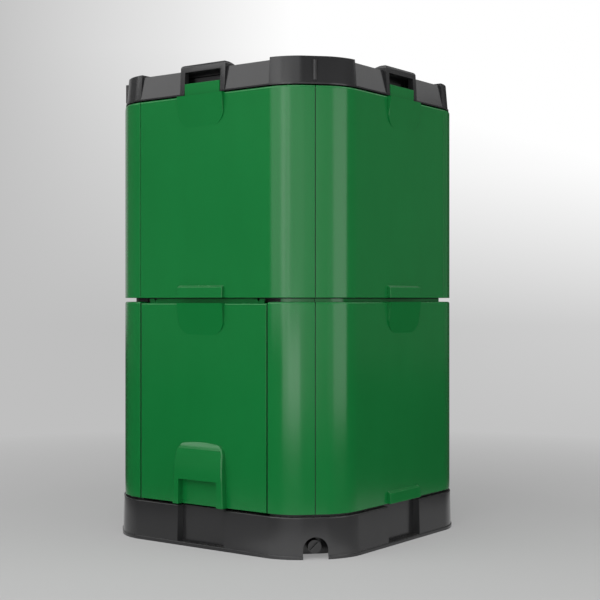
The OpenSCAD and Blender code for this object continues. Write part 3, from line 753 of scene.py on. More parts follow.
@dataclass(frozen=True)
class Plan:
    """The eight-sided footprint: a square with cut corners, whose sides meet in wide bends."""

    half: float = 358 * MM
    cut: float = 104 * MM
    bend: float = 118 * MM
    least_bend: float = 3 * MM
    steps: int = 14

    def distance(self, side: int) -> float:
        """From the centre to a side."""
        return self.half if side % 2 == 0 else (2 * self.half - self.cut) / math.sqrt(2)

    def flat(self, side: int) -> float:
        """Half the length of a side between its bends."""
        whole = self.half - self.cut if side % 2 == 0 else self.cut / math.sqrt(2)
        return whole - self.reach(self.bend)

    def reach(self, radius: float) -> float:
        """How far a bend of that radius reaches along each of its sides."""
        return radius * math.tan(TURN / 2)

    def turn(self, side: int, vector: Sequence[float]) -> Vector:
        """A direction along, inwards and up on a side, in the bin's frame.

        Args:
            side: Side of the bin.
            vector: Along, inwards and up.

        Returns:
            The direction in the bin's frame.
        """
        cos, sin = math.cos(TURN * side), math.sin(TURN * side)
        x, y, z = vector
        return Vector((x * cos - y * sin, x * sin + y * cos, z))

    def point(self, side: int, along: float, inset: float, z: float) -> Vector:
        """A point by its place along a side, its set-back from the wall's face, and its height."""
        return self.turn(side, (along, inset - self.distance(side), z))

    def block(self, inset: float, low: float, high: float) -> Work:
        """A block of the footprint's shape.

        Args:
            inset: Set-back from the wall's face.
            low: Its underside.
            high: Its top.

        Returns:
            The block.
        """
        side = self.half - inset
        work = Work.cube((-side, -side, low), (side, side, high))
        upright: Test = lambda a, b: abs(a.z - b.z) > 0.5 * (high - low)
        # The corners of an inset block are cut off by less
        work.round_edges(upright, self.cut - inset * (2 - math.sqrt(2)), 1)
        return work.round_edges(upright, self.reach(max(self.bend - inset, self.least_bend)), self.steps)

    def tapered(self, inset: Pair, z: Pair) -> Work:
        """A block of the footprint whose top is smaller than its foot.

        Args:
            inset: Set-back at the foot and at the top.
            z: Heights of the foot and the top.

        Returns:
            The block.
        """
        work = self.block(inset[0], *z)
        share = (self.half - inset[1]) / (self.half - inset[0])
        work.faces(lambda middle, normal: normal.z > 0.5)
        bpy.ops.transform.resize(value=(share, share, 1), center_override=(0, 0, 0))
        return work.close()

    def plate(self, side: int, outline: Sequence[Pair], inset: Pair) -> Work:
        """A shape in the plane of a side, pulled inwards.

        Args:
            side: The side.
            outline: Its corners as places along the side and heights.
            inset: From and to inwards.

        Returns:
            The solid.
        """
        corners = [self.point(side, x, inset[0], z) for x, z in outline]
        return self.pulled(corners, self.turn(side, (0, inset[1] - inset[0], 0)))

    def bar(self, side: int, section: Sequence[Pair], half: float) -> Work:
        """A section pulled along a side, equally far each way from its middle.

        Args:
            side: The side.
            section: Its corners as set-back and height.
            half: How far it reaches each way.

        Returns:
            The solid.
        """
        corners = [self.point(side, -half, inset, z) for inset, z in section]
        return self.pulled(corners, self.turn(side, (2 * half, 0, 0)))

    def raised(self, side: int, plan: Sequence[Pair], low: float, rise: float) -> Work:
        """A plan pulled upwards.

        Args:
            side: The side.
            plan: Its corners as places along the side and set-backs.
            low: Height of its underside.
            rise: How far it is pulled.

        Returns:
            The solid.
        """
        return self.pulled([self.point(side, x, inset, low) for x, inset in plan], Vector((0, 0, rise)))

    def box(self, side: int, along: Pair, inset: Pair, z: Pair) -> Work:
        """A block set on a side.

        Args:
            side: The side.
            along: From and to along it.
            inset: From and to inwards.
            z: From and to upwards.

        Returns:
            The block.
        """
        section = ((inset[0], z[0]), (inset[0], z[1]), (inset[1], z[1]), (inset[1], z[0]))
        corners = [self.point(side, along[0], depth, height) for depth, height in section]
        return self.pulled(corners, self.turn(side, (along[1] - along[0], 0, 0)))

    def pulled(self, outline: Sequence[Vector], along: Vector) -> Work:
        """A traced face pulled out to a solid.

        Args:
            outline: The face's corners.
            along: How far it is pulled.

        Returns:
            The solid.
        """
        work = Work.traced(outline)
        work.faces(lambda middle, normal: True)
        work.extrude(along)
        return work.close().tidy()

    def swept(self, section: Sequence[Pair], run: Run) -> Work:
        """A section swept along the wall, through flats and bends.

        Args:
            section: Its corners as set-back and height.
            run: First side, last side, start along the first, stop along the last.

        Returns:
            The swept solid.
        """
        first, last, start, stop = run
        work = Work.traced([self.point(first, start, inset, z) for inset, z in section])
        work.faces(lambda middle, normal: True)
        for side in range(first, last + 1):
            begin = start if side == first else -self.flat(side)
            end = stop if side == last else self.flat(side)
            work.extrude(self.turn(side, (end - begin, 0, 0)))
            if side < last:
                centre = self.point(side, self.flat(side), self.bend, 0)
                bpy.ops.mesh.spin(steps=self.steps, angle=SPIN, axis=(0, 0, 1), center=centre)
        return work.close().tidy()


def arc(middle: Pair, radius: float, start: float, stop: float, steps: int) -> list[Pair]:
    """Points round a part of a circle.

    Args:
        middle: Its centre.
        radius: Its radius.
        start: First angle in degrees.
        stop: Last angle in degrees.
        steps: Stretches between the points.

    Returns:
        The points.
    """
    angles = [math.radians(start + (stop - start) * i / steps) for i in range(steps + 1)]
    return [(middle[0] + radius * math.cos(a), middle[1] + radius * math.sin(a)) for a in angles]


PLAN = Plan()


@dataclass(frozen=True)
class Levels:
    """Heights of the stack: the base's top, and the foot and top of the tiers and of the lid."""

    base: float = 98 * MM
    tier: float = 498 * MM
    lower: float = base + 6 * MM
    groove: float = lower + tier
    upper: float = groove + 10 * MM
    top: float = upper + tier
    lid: float = top + 3 * MM
    crown: float = 1180 * MM
    side: float = crown - 6 * MM


LEVEL = Levels()


class Dresser:
    """Makes each finish once and puts it on the CAD nodes that stay."""

    def __init__(self) -> None:
        """Starts with no finish made."""
        self.made: dict[Slot, bpy.types.Material] = {}

    def material(self, slot: Slot) -> bpy.types.Material:
        """The material of a slot, made when first asked for.

        Args:
            slot: The slot.

        Returns:
            The material.
        """
        if slot not in self.made:
            self.made[slot] = FINISHES[slot].make()
        return self.made[slot]

    def dress_nodes(self) -> None:
        """Gives each CAD node the finish of its slot."""
        slots = {part["node"]: part["material_slot"] for part in frame["record"]["subparts"]}
        for name, node in frame["nodes"].items():
            for place in node.material_slots:
                place.material = self.material(Slot(slots[name]))
            if not node.material_slots:
                node.data.materials.append(self.material(Slot(slots[name])))


DRESS = Dresser()


# Panels and doors


@dataclass
class Panels:
    """The green outer skins: swept plates with a rolled top edge, pads and bosses."""

    skin: float = 3.5 * MM
    edge: float = 1.4 * MM
    roll: float = 4.5 * MM
    flange: float = 36 * MM
    seam: float = 0.8 * MM
    jamb: float = PLAN.flat(FRONT) - 1.5 * MM
    seam_at: float = jamb
    bite: float = 1 * MM
    pad_width: float = 144 * MM
    pad_height: float = 78 * MM
    pad_depth: float = 10 * MM
    pad_corner: float = 38 * MM
    pad_ledge: float = 4 * MM
    pad_rim: float = 2.2 * MM
    # An edge of the pad's rim is out of the wall by more than the first, and off the pad's side by less
    # than the second
    rim_out: float = 0.2 * MM
    rim_slack: float = 0.5 * MM
    boss_height: float = 26 * MM
    boss_lean: float = 2 * MM
    boss_rim: float = 1.2 * MM
    lip_in: float = 15 * MM
    lip_height: float = 8 * MM
    post_lip_at: float = 230 * MM
    tab_half: float = 55.5 * MM
    tab_in: float = 2 * MM
    tab_depth: float = 5 * MM
    tab_foot: float = 9 * MM
    tab_rise: float = 31 * MM
    tab_web: float = 3 * MM
    tab_return: float = 15 * MM
    tab_rim: float = 0.8 * MM
    pin_in: float = 8 * MM
    pin_rise: float = 18 * MM
    knuckle: float = 6 * MM

    def section(self, low: float, top: float, depth: float) -> list[Pair]:
        """Section of a skin.

        Args:
            low: Height of its lower edge.
            top: Height of its top.
            depth: How far its top reaches inwards.

        Returns:
            Corners as set-back and height.
        """
        middle = (self.roll, top - self.roll)
        outer = arc(middle, self.roll, 180, 90, 6)
        inner = arc(middle, self.roll - self.skin, 90, 180, 6)
        return [(0, low), *outer, (depth, top), (depth, top - self.skin), *inner, (self.skin, low)]

    def bare(self, run: Run, low: float, top: float, depth: float) -> Work:
        """A skin with softened edges, without pad or boss.

        Args:
            run: Where it runs.
            low: Height of its lower edge.
            top: Height of its top.
            depth: How far its top reaches inwards.

        Returns:
            The skin.
        """
        return PLAN.swept(self.section(low, top, depth), run).soften(self.edge, segments=3, angle=60)

    def set_back(self, side: int, point: Vector) -> float:
        """How far a point lies inside the wall's face."""
        return point.dot(PLAN.turn(side, (0, 1, 0))) + PLAN.distance(side)

    def pad(self, side: int, top: float) -> Work:
        """Pad that fades into the panel at its round lower end.

        Args:
            side: The side.
            top: Height of its top.

        Returns:
            The pad.
        """
        height, half, out = self.pad_height, self.pad_width / 2, self.pad_depth
        work = PLAN.box(side, (-half, half), (-out, self.roll), (top - height, top))

        def at_foot(a: Vector, b: Vector) -> bool:
            """Whether an edge is one of the two at the foot that run inwards."""
            return max(a.z, b.z) < top - height + MM and out < (a - b).length < out + self.roll + MM

        work.round_edges(at_foot, self.pad_corner, 12)
        along = PLAN.turn(side, (1, 0, 0))
        ledge = PLAN.point(side, 0, -out, top - self.pad_ledge)
        slope = (PLAN.point(side, 0, 0, top - height) - ledge).cross(along)
        if slope.dot(PLAN.turn(side, (0, -1, 0))) < 0:
            slope.negate()
        work.cut(ledge, slope)

        def on_rim(a: Vector, b: Vector) -> bool:
            """Whether an edge is part of a rim that runs upwards in front of the wall.

            Args:
                a: One end of the edge.
                b: Its other end.

            Returns:
                True on a rim.
            """
            proud = min(self.set_back(side, a), self.set_back(side, b)) < -self.rim_out
            upright = abs(a.z - b.z) > MM and max(a.z, b.z) < top - MM
            beside = max(abs(abs(end.dot(along)) - half) for end in (a, b)) < self.rim_slack
            return proud and upright and beside

        return work.tidy().round_edges(on_rim, self.pad_rim, 3)

    def boss(self, side: int, low: float) -> Work:
        """Boss at the bottom of a panel, sloped off at its top.

        Args:
            side: Side of the bin.
            low: Height of its underside.

        Returns:
            The boss.
        """
        out, high = self.pad_depth, low + self.boss_height
        section = [(self.bite, low), (-out, low), (self.boss_lean - out, high), (self.bite, high + out / 2)]
        return PLAN.bar(side, section, self.pad_width / 2).soften(self.boss_rim, segments=3)

    def tab(self, side: int) -> Work:
        """Green tab in a handle arch, with its two returns.

        Args:
            side: Side of the bin.

        Returns:
            The tab.
        """
        half, web, front = self.tab_half, self.tab_web, self.tab_in
        back, end = front + self.tab_depth, front + self.tab_return
        plan = [(-half, front), (half, front), (half, end), (half - web, end), (half - web, back),
                (web - half, back), (web - half, end), (-half, end)]
        work = PLAN.raised(side, plan, LEVEL.top - self.tab_foot, self.tab_foot + self.tab_rise)
        top = LEVEL.top + self.tab_rise
        return work.round_edges(lambda a, b: min(a.z, b.z) > top - MM, self.tab_rim, 2)

    def hinge(self) -> Work:
        """Knuckle of the lid's hinge on the back tab.

        Returns:
            The knuckle.
        """
        high = LEVEL.top + self.pin_rise
        ends = [PLAN.point(BACK, x, self.pin_in, high) for x in (-self.tab_half, self.tab_half)]
        return Work.rod(*ends, self.knuckle)

    def lip(self, run: Run, top: float) -> Work:
        """Set-back lip that closes the groove between the tiers.

        Args:
            run: Where it runs.
            top: Height of the top of its skin.

        Returns:
            The lip.
        """
        low, high = top - self.skin, top + self.lip_height
        front, back = self.lip_in, self.lip_in + self.skin
        return PLAN.swept([(front, low), (front, high), (back, high), (back, low)], run)

    def skin_piece(self, run: Run, low: float, pads: Iterable[int]) -> Work:
        """One swept skin with its pads and bosses.

        Args:
            run: Where it runs.
            low: Height of its lower edge.
            pads: Sides that get a pad and a boss.

        Returns:
            The skin.
        """
        first, last, start, stop = run
        inside = (first, last, start + self.seam, stop - self.seam)
        work = self.bare(inside, low, low + LEVEL.tier, self.flange)
        for side in pads:
            work.add(self.pad(side, low + LEVEL.tier))
            work.add(self.boss(side, low))
        return work

    def build_lower(self) -> None:
        """Builds the two sides of the lower tier and the two posts beside its doors."""
        skins = {
            "lower_right_skin": ((1, 4, 0.0, -self.jamb), (2,)),
            "lower_left_skin": ((5, 8, 0.0, -self.jamb), (6,)),
            "front_post_skin": ((0, 1, self.jamb, 0.0), ()),
            "back_post_skin": ((4, 5, self.jamb, 0.0), ()),
        }
        for node, (run, pads) in skins.items():
            first, last = run[:2]
            work = self.skin_piece(run, LEVEL.lower, pads)
            if pads:
                lip = self.lip((first, first + 1, self.seam, PLAN.flat(FRONT)), LEVEL.groove)
            else:
                lip = self.lip((first, last, self.jamb, -self.seam), LEVEL.groove)
                lip.cut(PLAN.point(first, self.post_lip_at, 0, 0), PLAN.turn(first, (-1, 0, 0)))
            work.add(lip)
            work.finish("dressed_" + node, Body.BIN, Slot.GREEN, node)

    def build_upper(self) -> None:
        """Builds the four skins of the upper tier."""
        skins = {
            "upper_front_skin": ((0, 1, -self.seam_at, 0.0), 0),
            "upper_right_skin": ((1, 2, 0.0, self.seam_at), 2),
            "upper_back_skin": ((2, 5, self.seam_at, 0.0), 4),
            "upper_left_skin": ((5, 8, 0.0, -self.seam_at), 6),
        }
        for node, (run, side) in skins.items():
            work = self.skin_piece(run, LEVEL.upper, (side,))
            work.add(self.tab(side))
            if side == BACK:
                work.add(self.hinge())
            work.finish("dressed_" + node, Body.BIN, Slot.GREEN, node)


@dataclass
class Door:
    """One swinging door: its skin with pad, lip and finger hood."""

    side: int
    body: Body
    node: str
    panels: Panels
    half: float = PLAN.flat(FRONT) - 4.5 * MM
    gap: float = 3 * MM
    depth: float = 30 * MM
    lip_half: float = PLAN.flat(FRONT) - 21.5 * MM
    notch_at: float = PLAN.flat(FRONT) - 39.5 * MM
    notch: float = 6 * MM
    notch_in: Pair = (10 * MM, 25 * MM)
    hood_half: float = 81 * MM
    hood_height: float = 154 * MM
    hood_out: float = 17 * MM
    hood_corner: float = 26 * MM
    hood_lean: float = 6 * MM
    hood_arch: float = 360 * MM
    hood_rim: float = 4 * MM
    # A point of the hood's rim is out of the wall by more than the first, and off the outline by less
    # than the second
    rim_out: float = 5 * MM
    rim_slack: float = 0.3 * MM
    rim_stretch: float = 30 * MM
    hood_bite: float = 2 * MM
    hood_edge: float = 1.5 * MM
    grip_half: float = 61 * MM
    grip_height: float = 62 * MM
    grip_lean: float = 3 * MM
    grip_brow: float = 20 * MM
    grip_peak: float = 28 * MM
    # The hood's bulge: share of its depth at a share of its height
    bulge: tuple[Pair, ...] = (
        (1, 0), (1, 0.4), (0.98, 0.5), (0.93, 0.6), (0.84, 0.7),
        (0.7, 0.8), (0.5, 0.9), (0.27, 0.96), (0, 1),
    )

    def front(self) -> list[Pair]:
        """Outline of the hood from the front: round shoulders under an arched top.

        Returns:
            Its corners as places along the door and heights.
        """
        low, half, corner, radius = LEVEL.lower - MM, self.hood_half, self.hood_corner, self.hood_arch
        top = LEVEL.lower + self.hood_height
        inner = half - self.hood_lean - corner
        share = math.degrees(math.asin(inner / radius))
        sink = radius - radius * math.cos(math.radians(share))
        shoulder = arc((inner, top - sink - corner), corner, 0, 90 - share, 10)
        crown = arc((0, top - radius), radius, 90 - share, 90 + share, 10)[1:-1]
        return [(-half, low), (half, low), *shoulder, *crown, *((-x, z) for x, z in reversed(shoulder))]

    def on_rim(self, point: Vector, outline: Sequence[Pair]) -> bool:
        """Whether a point of the hood lies on its rim, in front of the skin.

        Args:
            point: The point.
            outline: The hood from the front.

        Returns:
            True on the rim.
        """
        spot = Vector((point.dot(PLAN.turn(self.side, (1, 0, 0))), point.z))
        nearest = math.inf
        for start, stop in zip(outline, [*outline[1:], outline[0]]):
            foot, share = intersect_point_line(spot, Vector(start), Vector(stop))
            # Only where the foot lies on the stretch, or a hair past its ends
            if abs(share - 0.5) <= 0.51:
                nearest = min(nearest, (spot - foot).length)
        proud = self.panels.set_back(self.side, point) < -self.rim_out
        return proud and nearest < self.rim_slack and point.z > LEVEL.lower - MM

    def hood(self) -> Work:
        """Finger hood: a scoop with an arched top, hollow behind its opening.

        Returns:
            The hood.
        """
        low, out, side = LEVEL.lower, self.hood_out, self.side
        bulge = [(-out * share, low + self.hood_height * height) for share, height in self.bulge]
        section = [(self.hood_bite, low), *bulge, (self.hood_bite, low + self.hood_height)]
        work = PLAN.bar(side, section, self.hood_half)
        outline = self.front()
        work.keep_in(PLAN.plate(side, outline, (-out - MM, self.hood_bite + MM)))

        def rim(a: Vector, b: Vector) -> bool:
            """Whether an edge is a short stretch of the rim above the foot.

            Args:
                a: One end of the edge.
                b: Its other end.

            Returns:
                True on such a stretch.
            """
            across = abs((a - b).dot(PLAN.turn(side, (1, 0, 0))))
            short = max(a.z, b.z) > low + MM and across < self.rim_stretch
            return short and self.on_rim(a, outline) and self.on_rim(b, outline)

        work.round_edges(rim, self.hood_rim, 5)
        top, wall = low + self.grip_height, self.panels.skin - out
        hollow = [(0, low - MM), (-out - MM, low - MM), (-out - MM, top), (wall, top),
                  (wall + self.grip_lean, top + self.grip_brow), (0, top + self.grip_peak)]
        work.cut_out(PLAN.bar(side, hollow, self.grip_half))
        return work.soften(self.hood_edge, segments=3, angle=40)

    def lip(self) -> Work:
        """The door's lip, with a V cut near each end.

        Returns:
            The lip.
        """
        work = self.panels.lip((self.side, self.side, -self.lip_half, self.lip_half), LEVEL.groove)
        high = LEVEL.groove + self.panels.lip_height + MM
        for at in (-self.notch_at, self.notch_at):
            corners = [(at, LEVEL.groove), (at + self.notch, high), (at - self.notch, high)]
            work.cut_out(PLAN.plate(self.side, corners, self.notch_in))
        return work

    def build(self) -> None:
        """Builds the door's skin."""
        top = LEVEL.groove - self.gap
        run = (self.side, self.side, -self.half, self.half)
        work = self.panels.bare(run, LEVEL.lower, top, self.depth)
        work.add(self.panels.pad(self.side, top))
        work.add(self.lip())
        work.add(self.hood())
        work.finish("dressed_" + self.node, self.body, Slot.GREEN, self.node)


# Lid and base


@dataclass
class Lid:
    """The lid's shell: drafted skirt, raised corners and a handle arch on each side."""

    low_in: float = 3 * MM
    top_in: float = 13 * MM
    wall: float = 4 * MM
    rim_out: float = 1.5 * MM
    rim_height: float = 3.5 * MM
    edge: float = 1.2 * MM
    plug_in: float = 68 * MM
    plug_rise: float = 2 * MM
    deck_under: float = 1169.5 * MM
    crown_low: float = 3.2 * MM
    crown_in: float = 8 * MM
    crown_rim: float = 3.5 * MM
    corner_at: float = PLAN.flat(FRONT) - 0.5 * MM
    rib: float = 5.5 * MM
    rib_foot: float = 10 * MM
    rib_drop: float = 4 * MM
    arch_half: float = 71.5 * MM
    arch_rise: float = 8 * MM
    arch_corner: float = 8 * MM
    arch_bar: float = 10 * MM
    arch_foot: float = 2 * MM
    # Set-back and drop from the top of each point of the arch's round front edge
    arch_brow: tuple[Pair, ...] = ((6 * MM, 5 * MM), (8 * MM, 1.5 * MM), (11 * MM, 0))
    arch_lap: float = 2 * MM
    arch_flat: float = 6 * MM
    arch_run: float = 44 * MM
    arch_span: Pair = (-10 * MM, 90 * MM)
    open_half: float = 57 * MM
    open_past: float = 4 * MM

    def quarters(self, start: float, low: float, high: float, far: float = 1.0) -> Work:
        """Four blocks over the corners.

        Args:
            start: Where they start from the middle of a side.
            low: Their underside.
            high: Their top.
            far: Where they end, past the lid.

        Returns:
            The blocks as one work.
        """
        blocks = []
        for right in (-1, 1):
            for behind in (-1, 1):
                x, y = sorted((right * start, right * far)), sorted((behind * start, behind * far))
                blocks.append(Work.cube((x[0], y[0], low), (x[1], y[1], high)))
        deselect()
        for block in blocks:
            block.obj.select_set(True)
        bpy.context.view_layer.objects.active = blocks[0].obj
        bpy.ops.object.join()
        return blocks[0]

    def crown(self) -> Work:
        """The raised corners.

        Returns:
            The four corners in one work.
        """
        work = PLAN.tapered((self.crown_low, self.crown_in), (LEVEL.lid, LEVEL.crown))
        work.keep_in(self.quarters(self.corner_at, LEVEL.lid, LEVEL.crown))
        return work.soften(self.crown_rim, segments=4, angle=60)

    def arch(self, side: int) -> Work:
        """Frame round a handle opening, sloping down behind.

        Args:
            side: Side of the bin.

        Returns:
            The frame.
        """
        back, under = self.top_in + self.wall, self.deck_under + MM
        top, half, corner = LEVEL.crown + self.arch_rise, self.arch_half, self.arch_corner
        brow = [(inset, top - drop) for inset, drop in self.arch_brow]
        section = [(self.arch_foot, LEVEL.lid), *brow, (back + self.arch_flat, top),
                   (back + self.arch_run, LEVEL.side), (back + self.arch_run, under),
                   (back + self.arch_lap, under), (back + self.arch_lap, LEVEL.lid)]
        right = arc((half - corner, top - corner), corner, 0, 90, 8)
        left = arc((corner - half, top - corner), corner, 90, 180, 8)
        front = [(-half, LEVEL.lid - MM), (half, LEVEL.lid - MM), *right, *left]
        return PLAN.bar(side, section, half).keep_in(PLAN.plate(side, front, self.arch_span))

    def build(self) -> None:
        """Builds the shell."""
        back = self.top_in + self.wall
        work = PLAN.tapered((self.low_in, self.top_in), (LEVEL.lid, LEVEL.side))
        work.add(PLAN.block(self.low_in - self.rim_out, LEVEL.lid, LEVEL.lid + self.rim_height))
        work.add(PLAN.block(self.plug_in, LEVEL.side - MM, LEVEL.side + self.plug_rise))
        work.add(self.crown())
        work.cut_out(PLAN.block(back, LEVEL.lid - MM, self.deck_under))
        for side in FACES:
            work.add(self.arch(side))
        for side in CORNERS:
            ends = [PLAN.point(side, 0, self.crown_in - MM, z)
                    for z in (LEVEL.lid + self.rib_foot, LEVEL.side - self.rib_drop)]
            work.add(Work.rod(*ends, self.rib, sides=24))
        across, inset = (-self.open_half, self.open_half), (-MM, back + self.open_past)
        for side in FACES:
            work.cut_out(PLAN.box(side, across, inset, (LEVEL.lid - MM, LEVEL.crown - self.arch_bar)))
        work.soften(self.edge, segments=2, angle=50)
        work.finish("dressed_lid_shell", Body.LID, Slot.SHELL, "lid_shell")


@dataclass
class Base:
    """The base tray: drafted skirt, foot flange, recesses, sump and the notch for the tap."""

    rim_out: float = 3 * MM
    draft: float = 2 * MM
    rim_round: float = 3 * MM
    edge: float = 1 * MM
    foot_out: float = 7 * MM
    foot_height: float = 9 * MM
    foot_round: float = 2.5 * MM
    recess_half: float = 74 * MM
    recess_depth: float = 15 * MM
    recess_draft: float = 3.75 * MM
    recess_out: float = 20 * MM
    recess_web: float = 4 * MM
    # From outside the skirt to the back of the wall behind a recess
    web_in: Pair = (-50 * MM, 16 * MM)
    notch_half: float = 30 * MM
    notch_height: float = 22 * MM
    notch_in: Pair = (-20 * MM, 8 * MM)
    skirt: float = 1 * MM
    deck_under: float = 93 * MM
    # From below the ground to above the top
    past: Pair = (-2 * MM, 99 * MM)
    sump_in: float = 66 * MM
    sump_wall: float = 3 * MM
    sump_floor: Pair = (4 * MM, 8 * MM)
    seat_in: float = 57 * MM
    seat: float = 90 * MM
    # A height clear of the top, for cuts that are open upwards
    above: float = 120 * MM

    def notch(self) -> Work:
        """Arched notch, open at the ground.

        Returns:
            The shape to cut away.
        """
        half = self.notch_half
        outline = [(-half, -MM), (half, -MM), *arc((0, self.notch_height), half, 0, 180, 24)]
        return PLAN.plate(TAP_CORNER, outline, self.notch_in)

    def recess(self, side: int) -> Work:
        """Recess in the middle of a side, with drafted walls.

        Args:
            side: Side of the bin.

        Returns:
            The shape to cut away.
        """
        deep, out = self.recess_depth - self.rim_out, -self.recess_out
        wide, narrow = self.recess_half + self.recess_draft, self.recess_half - self.recess_draft
        plan = [(-wide, out), (wide, out), (narrow, deep), (-narrow, deep)]
        return PLAN.raised(side, plan, self.foot_height, LEVEL.base)

    def hollow(self) -> Work:
        """Hollow under the deck, round the sump and behind each recess.

        Returns:
            The shape to cut away.
        """
        web = self.recess_half + self.recess_web
        work = PLAN.block(self.skirt, -MM, self.deck_under)
        work.cut_out(PLAN.block(self.sump_in - self.sump_wall, *self.past))
        for side in FACES:
            work.cut_out(PLAN.box(side, (-web, web), self.web_in, self.past))
        return work

    def build(self) -> None:
        """Builds the tray."""
        work = PLAN.tapered((-self.rim_out - self.draft, -self.rim_out), (0.0, LEVEL.base))
        work.round_edges(lambda a, b: min(a.z, b.z) > LEVEL.base - MM, self.rim_round, 3)
        foot = PLAN.block(-self.foot_out, 0.0, self.foot_height)
        foot.round_edges(lambda a, b: min(a.z, b.z) > self.foot_height - MM, self.foot_round, 3)
        work.add(foot)
        for side in FACES:
            work.cut_out(self.recess(side))
        under, floor = self.sump_floor
        work.cut_out(PLAN.block(self.sump_in, floor, self.above))
        work.cut_out(PLAN.block(self.seat_in, self.seat, self.above))
        work.cut_out(self.hollow())
        work.cut_out(PLAN.block(self.sump_in, -MM, under))
        work.cut_out(self.notch())
        work.soften(self.edge, segments=2, angle=50)
        work.finish("dressed_base_tray", Body.BIN, Slot.SHELL, "base_tray")


# Studio


@dataclass(frozen=True)
class Lamp:
    """A soft lamp that points at the bin.

    Its azimuth is in degrees round the bin, 0 at the front and towards the right. Its size is width
    and height, and a glow of 1 shows as white.
    """

    name: str
    azimuth: float
    height: float
    reach: float
    size: Pair
    glow: float

    def build(self, aim: Vector) -> None:
        """Adds the lamp, turned towards a point.

        Args:
            aim: The point.
        """
        data = bpy.data.lights.new(self.name, "AREA")
        data.shape = "RECTANGLE"
        data.size, data.size_y = self.size
        data.energy = math.pi * self.size[0] * self.size[1] * self.glow
        lamp = bpy.data.objects.new(self.name, data)
        bpy.context.scene.collection.objects.link(lamp)
        angle = math.radians(self.azimuth)
        lamp.location = (self.reach * math.sin(angle), -self.reach * math.cos(angle), self.height)
        lamp.rotation_euler = (aim - lamp.location).to_track_quat("-Z", "Y").to_euler()


LAMPS = (
    Lamp("overhead", 0, 3.8, 1.0, (4.0, 4.0), 1.35),
    Lamp("key", -33, 2.8, 3.4, (5.0, 1.45), 2.05),
    Lamp("key end", 22, 2.8, 3.4, (2.2, 1.45), 1.2),
    Lamp("front", -5, 1.2, 3.0, (1.85, 1.45), 1.15),
    Lamp("front edge", 12, 1.2, 3.0, (0.95, 1.45), 1.5),
    Lamp("front low", 24, 0.25, 3.0, (2.0, 0.45), 1.8),
    Lamp("corner", 35, 0.88, 3.0, (2.0, 1.65), 1.0),
    Lamp("right of corner", 79, 0.88, 3.0, (2.6, 1.65), 0.6),
    Lamp("right edge", 86, 0.88, 3.0, (1.7, 1.65), 1.1),
    Lamp("high right", 110, 2.9, 2.2, (1.6, 1.6), 1.8),
    Lamp("rear right", 145, 2.8, 3.3, (1.8, 1.45), 0.95),
)


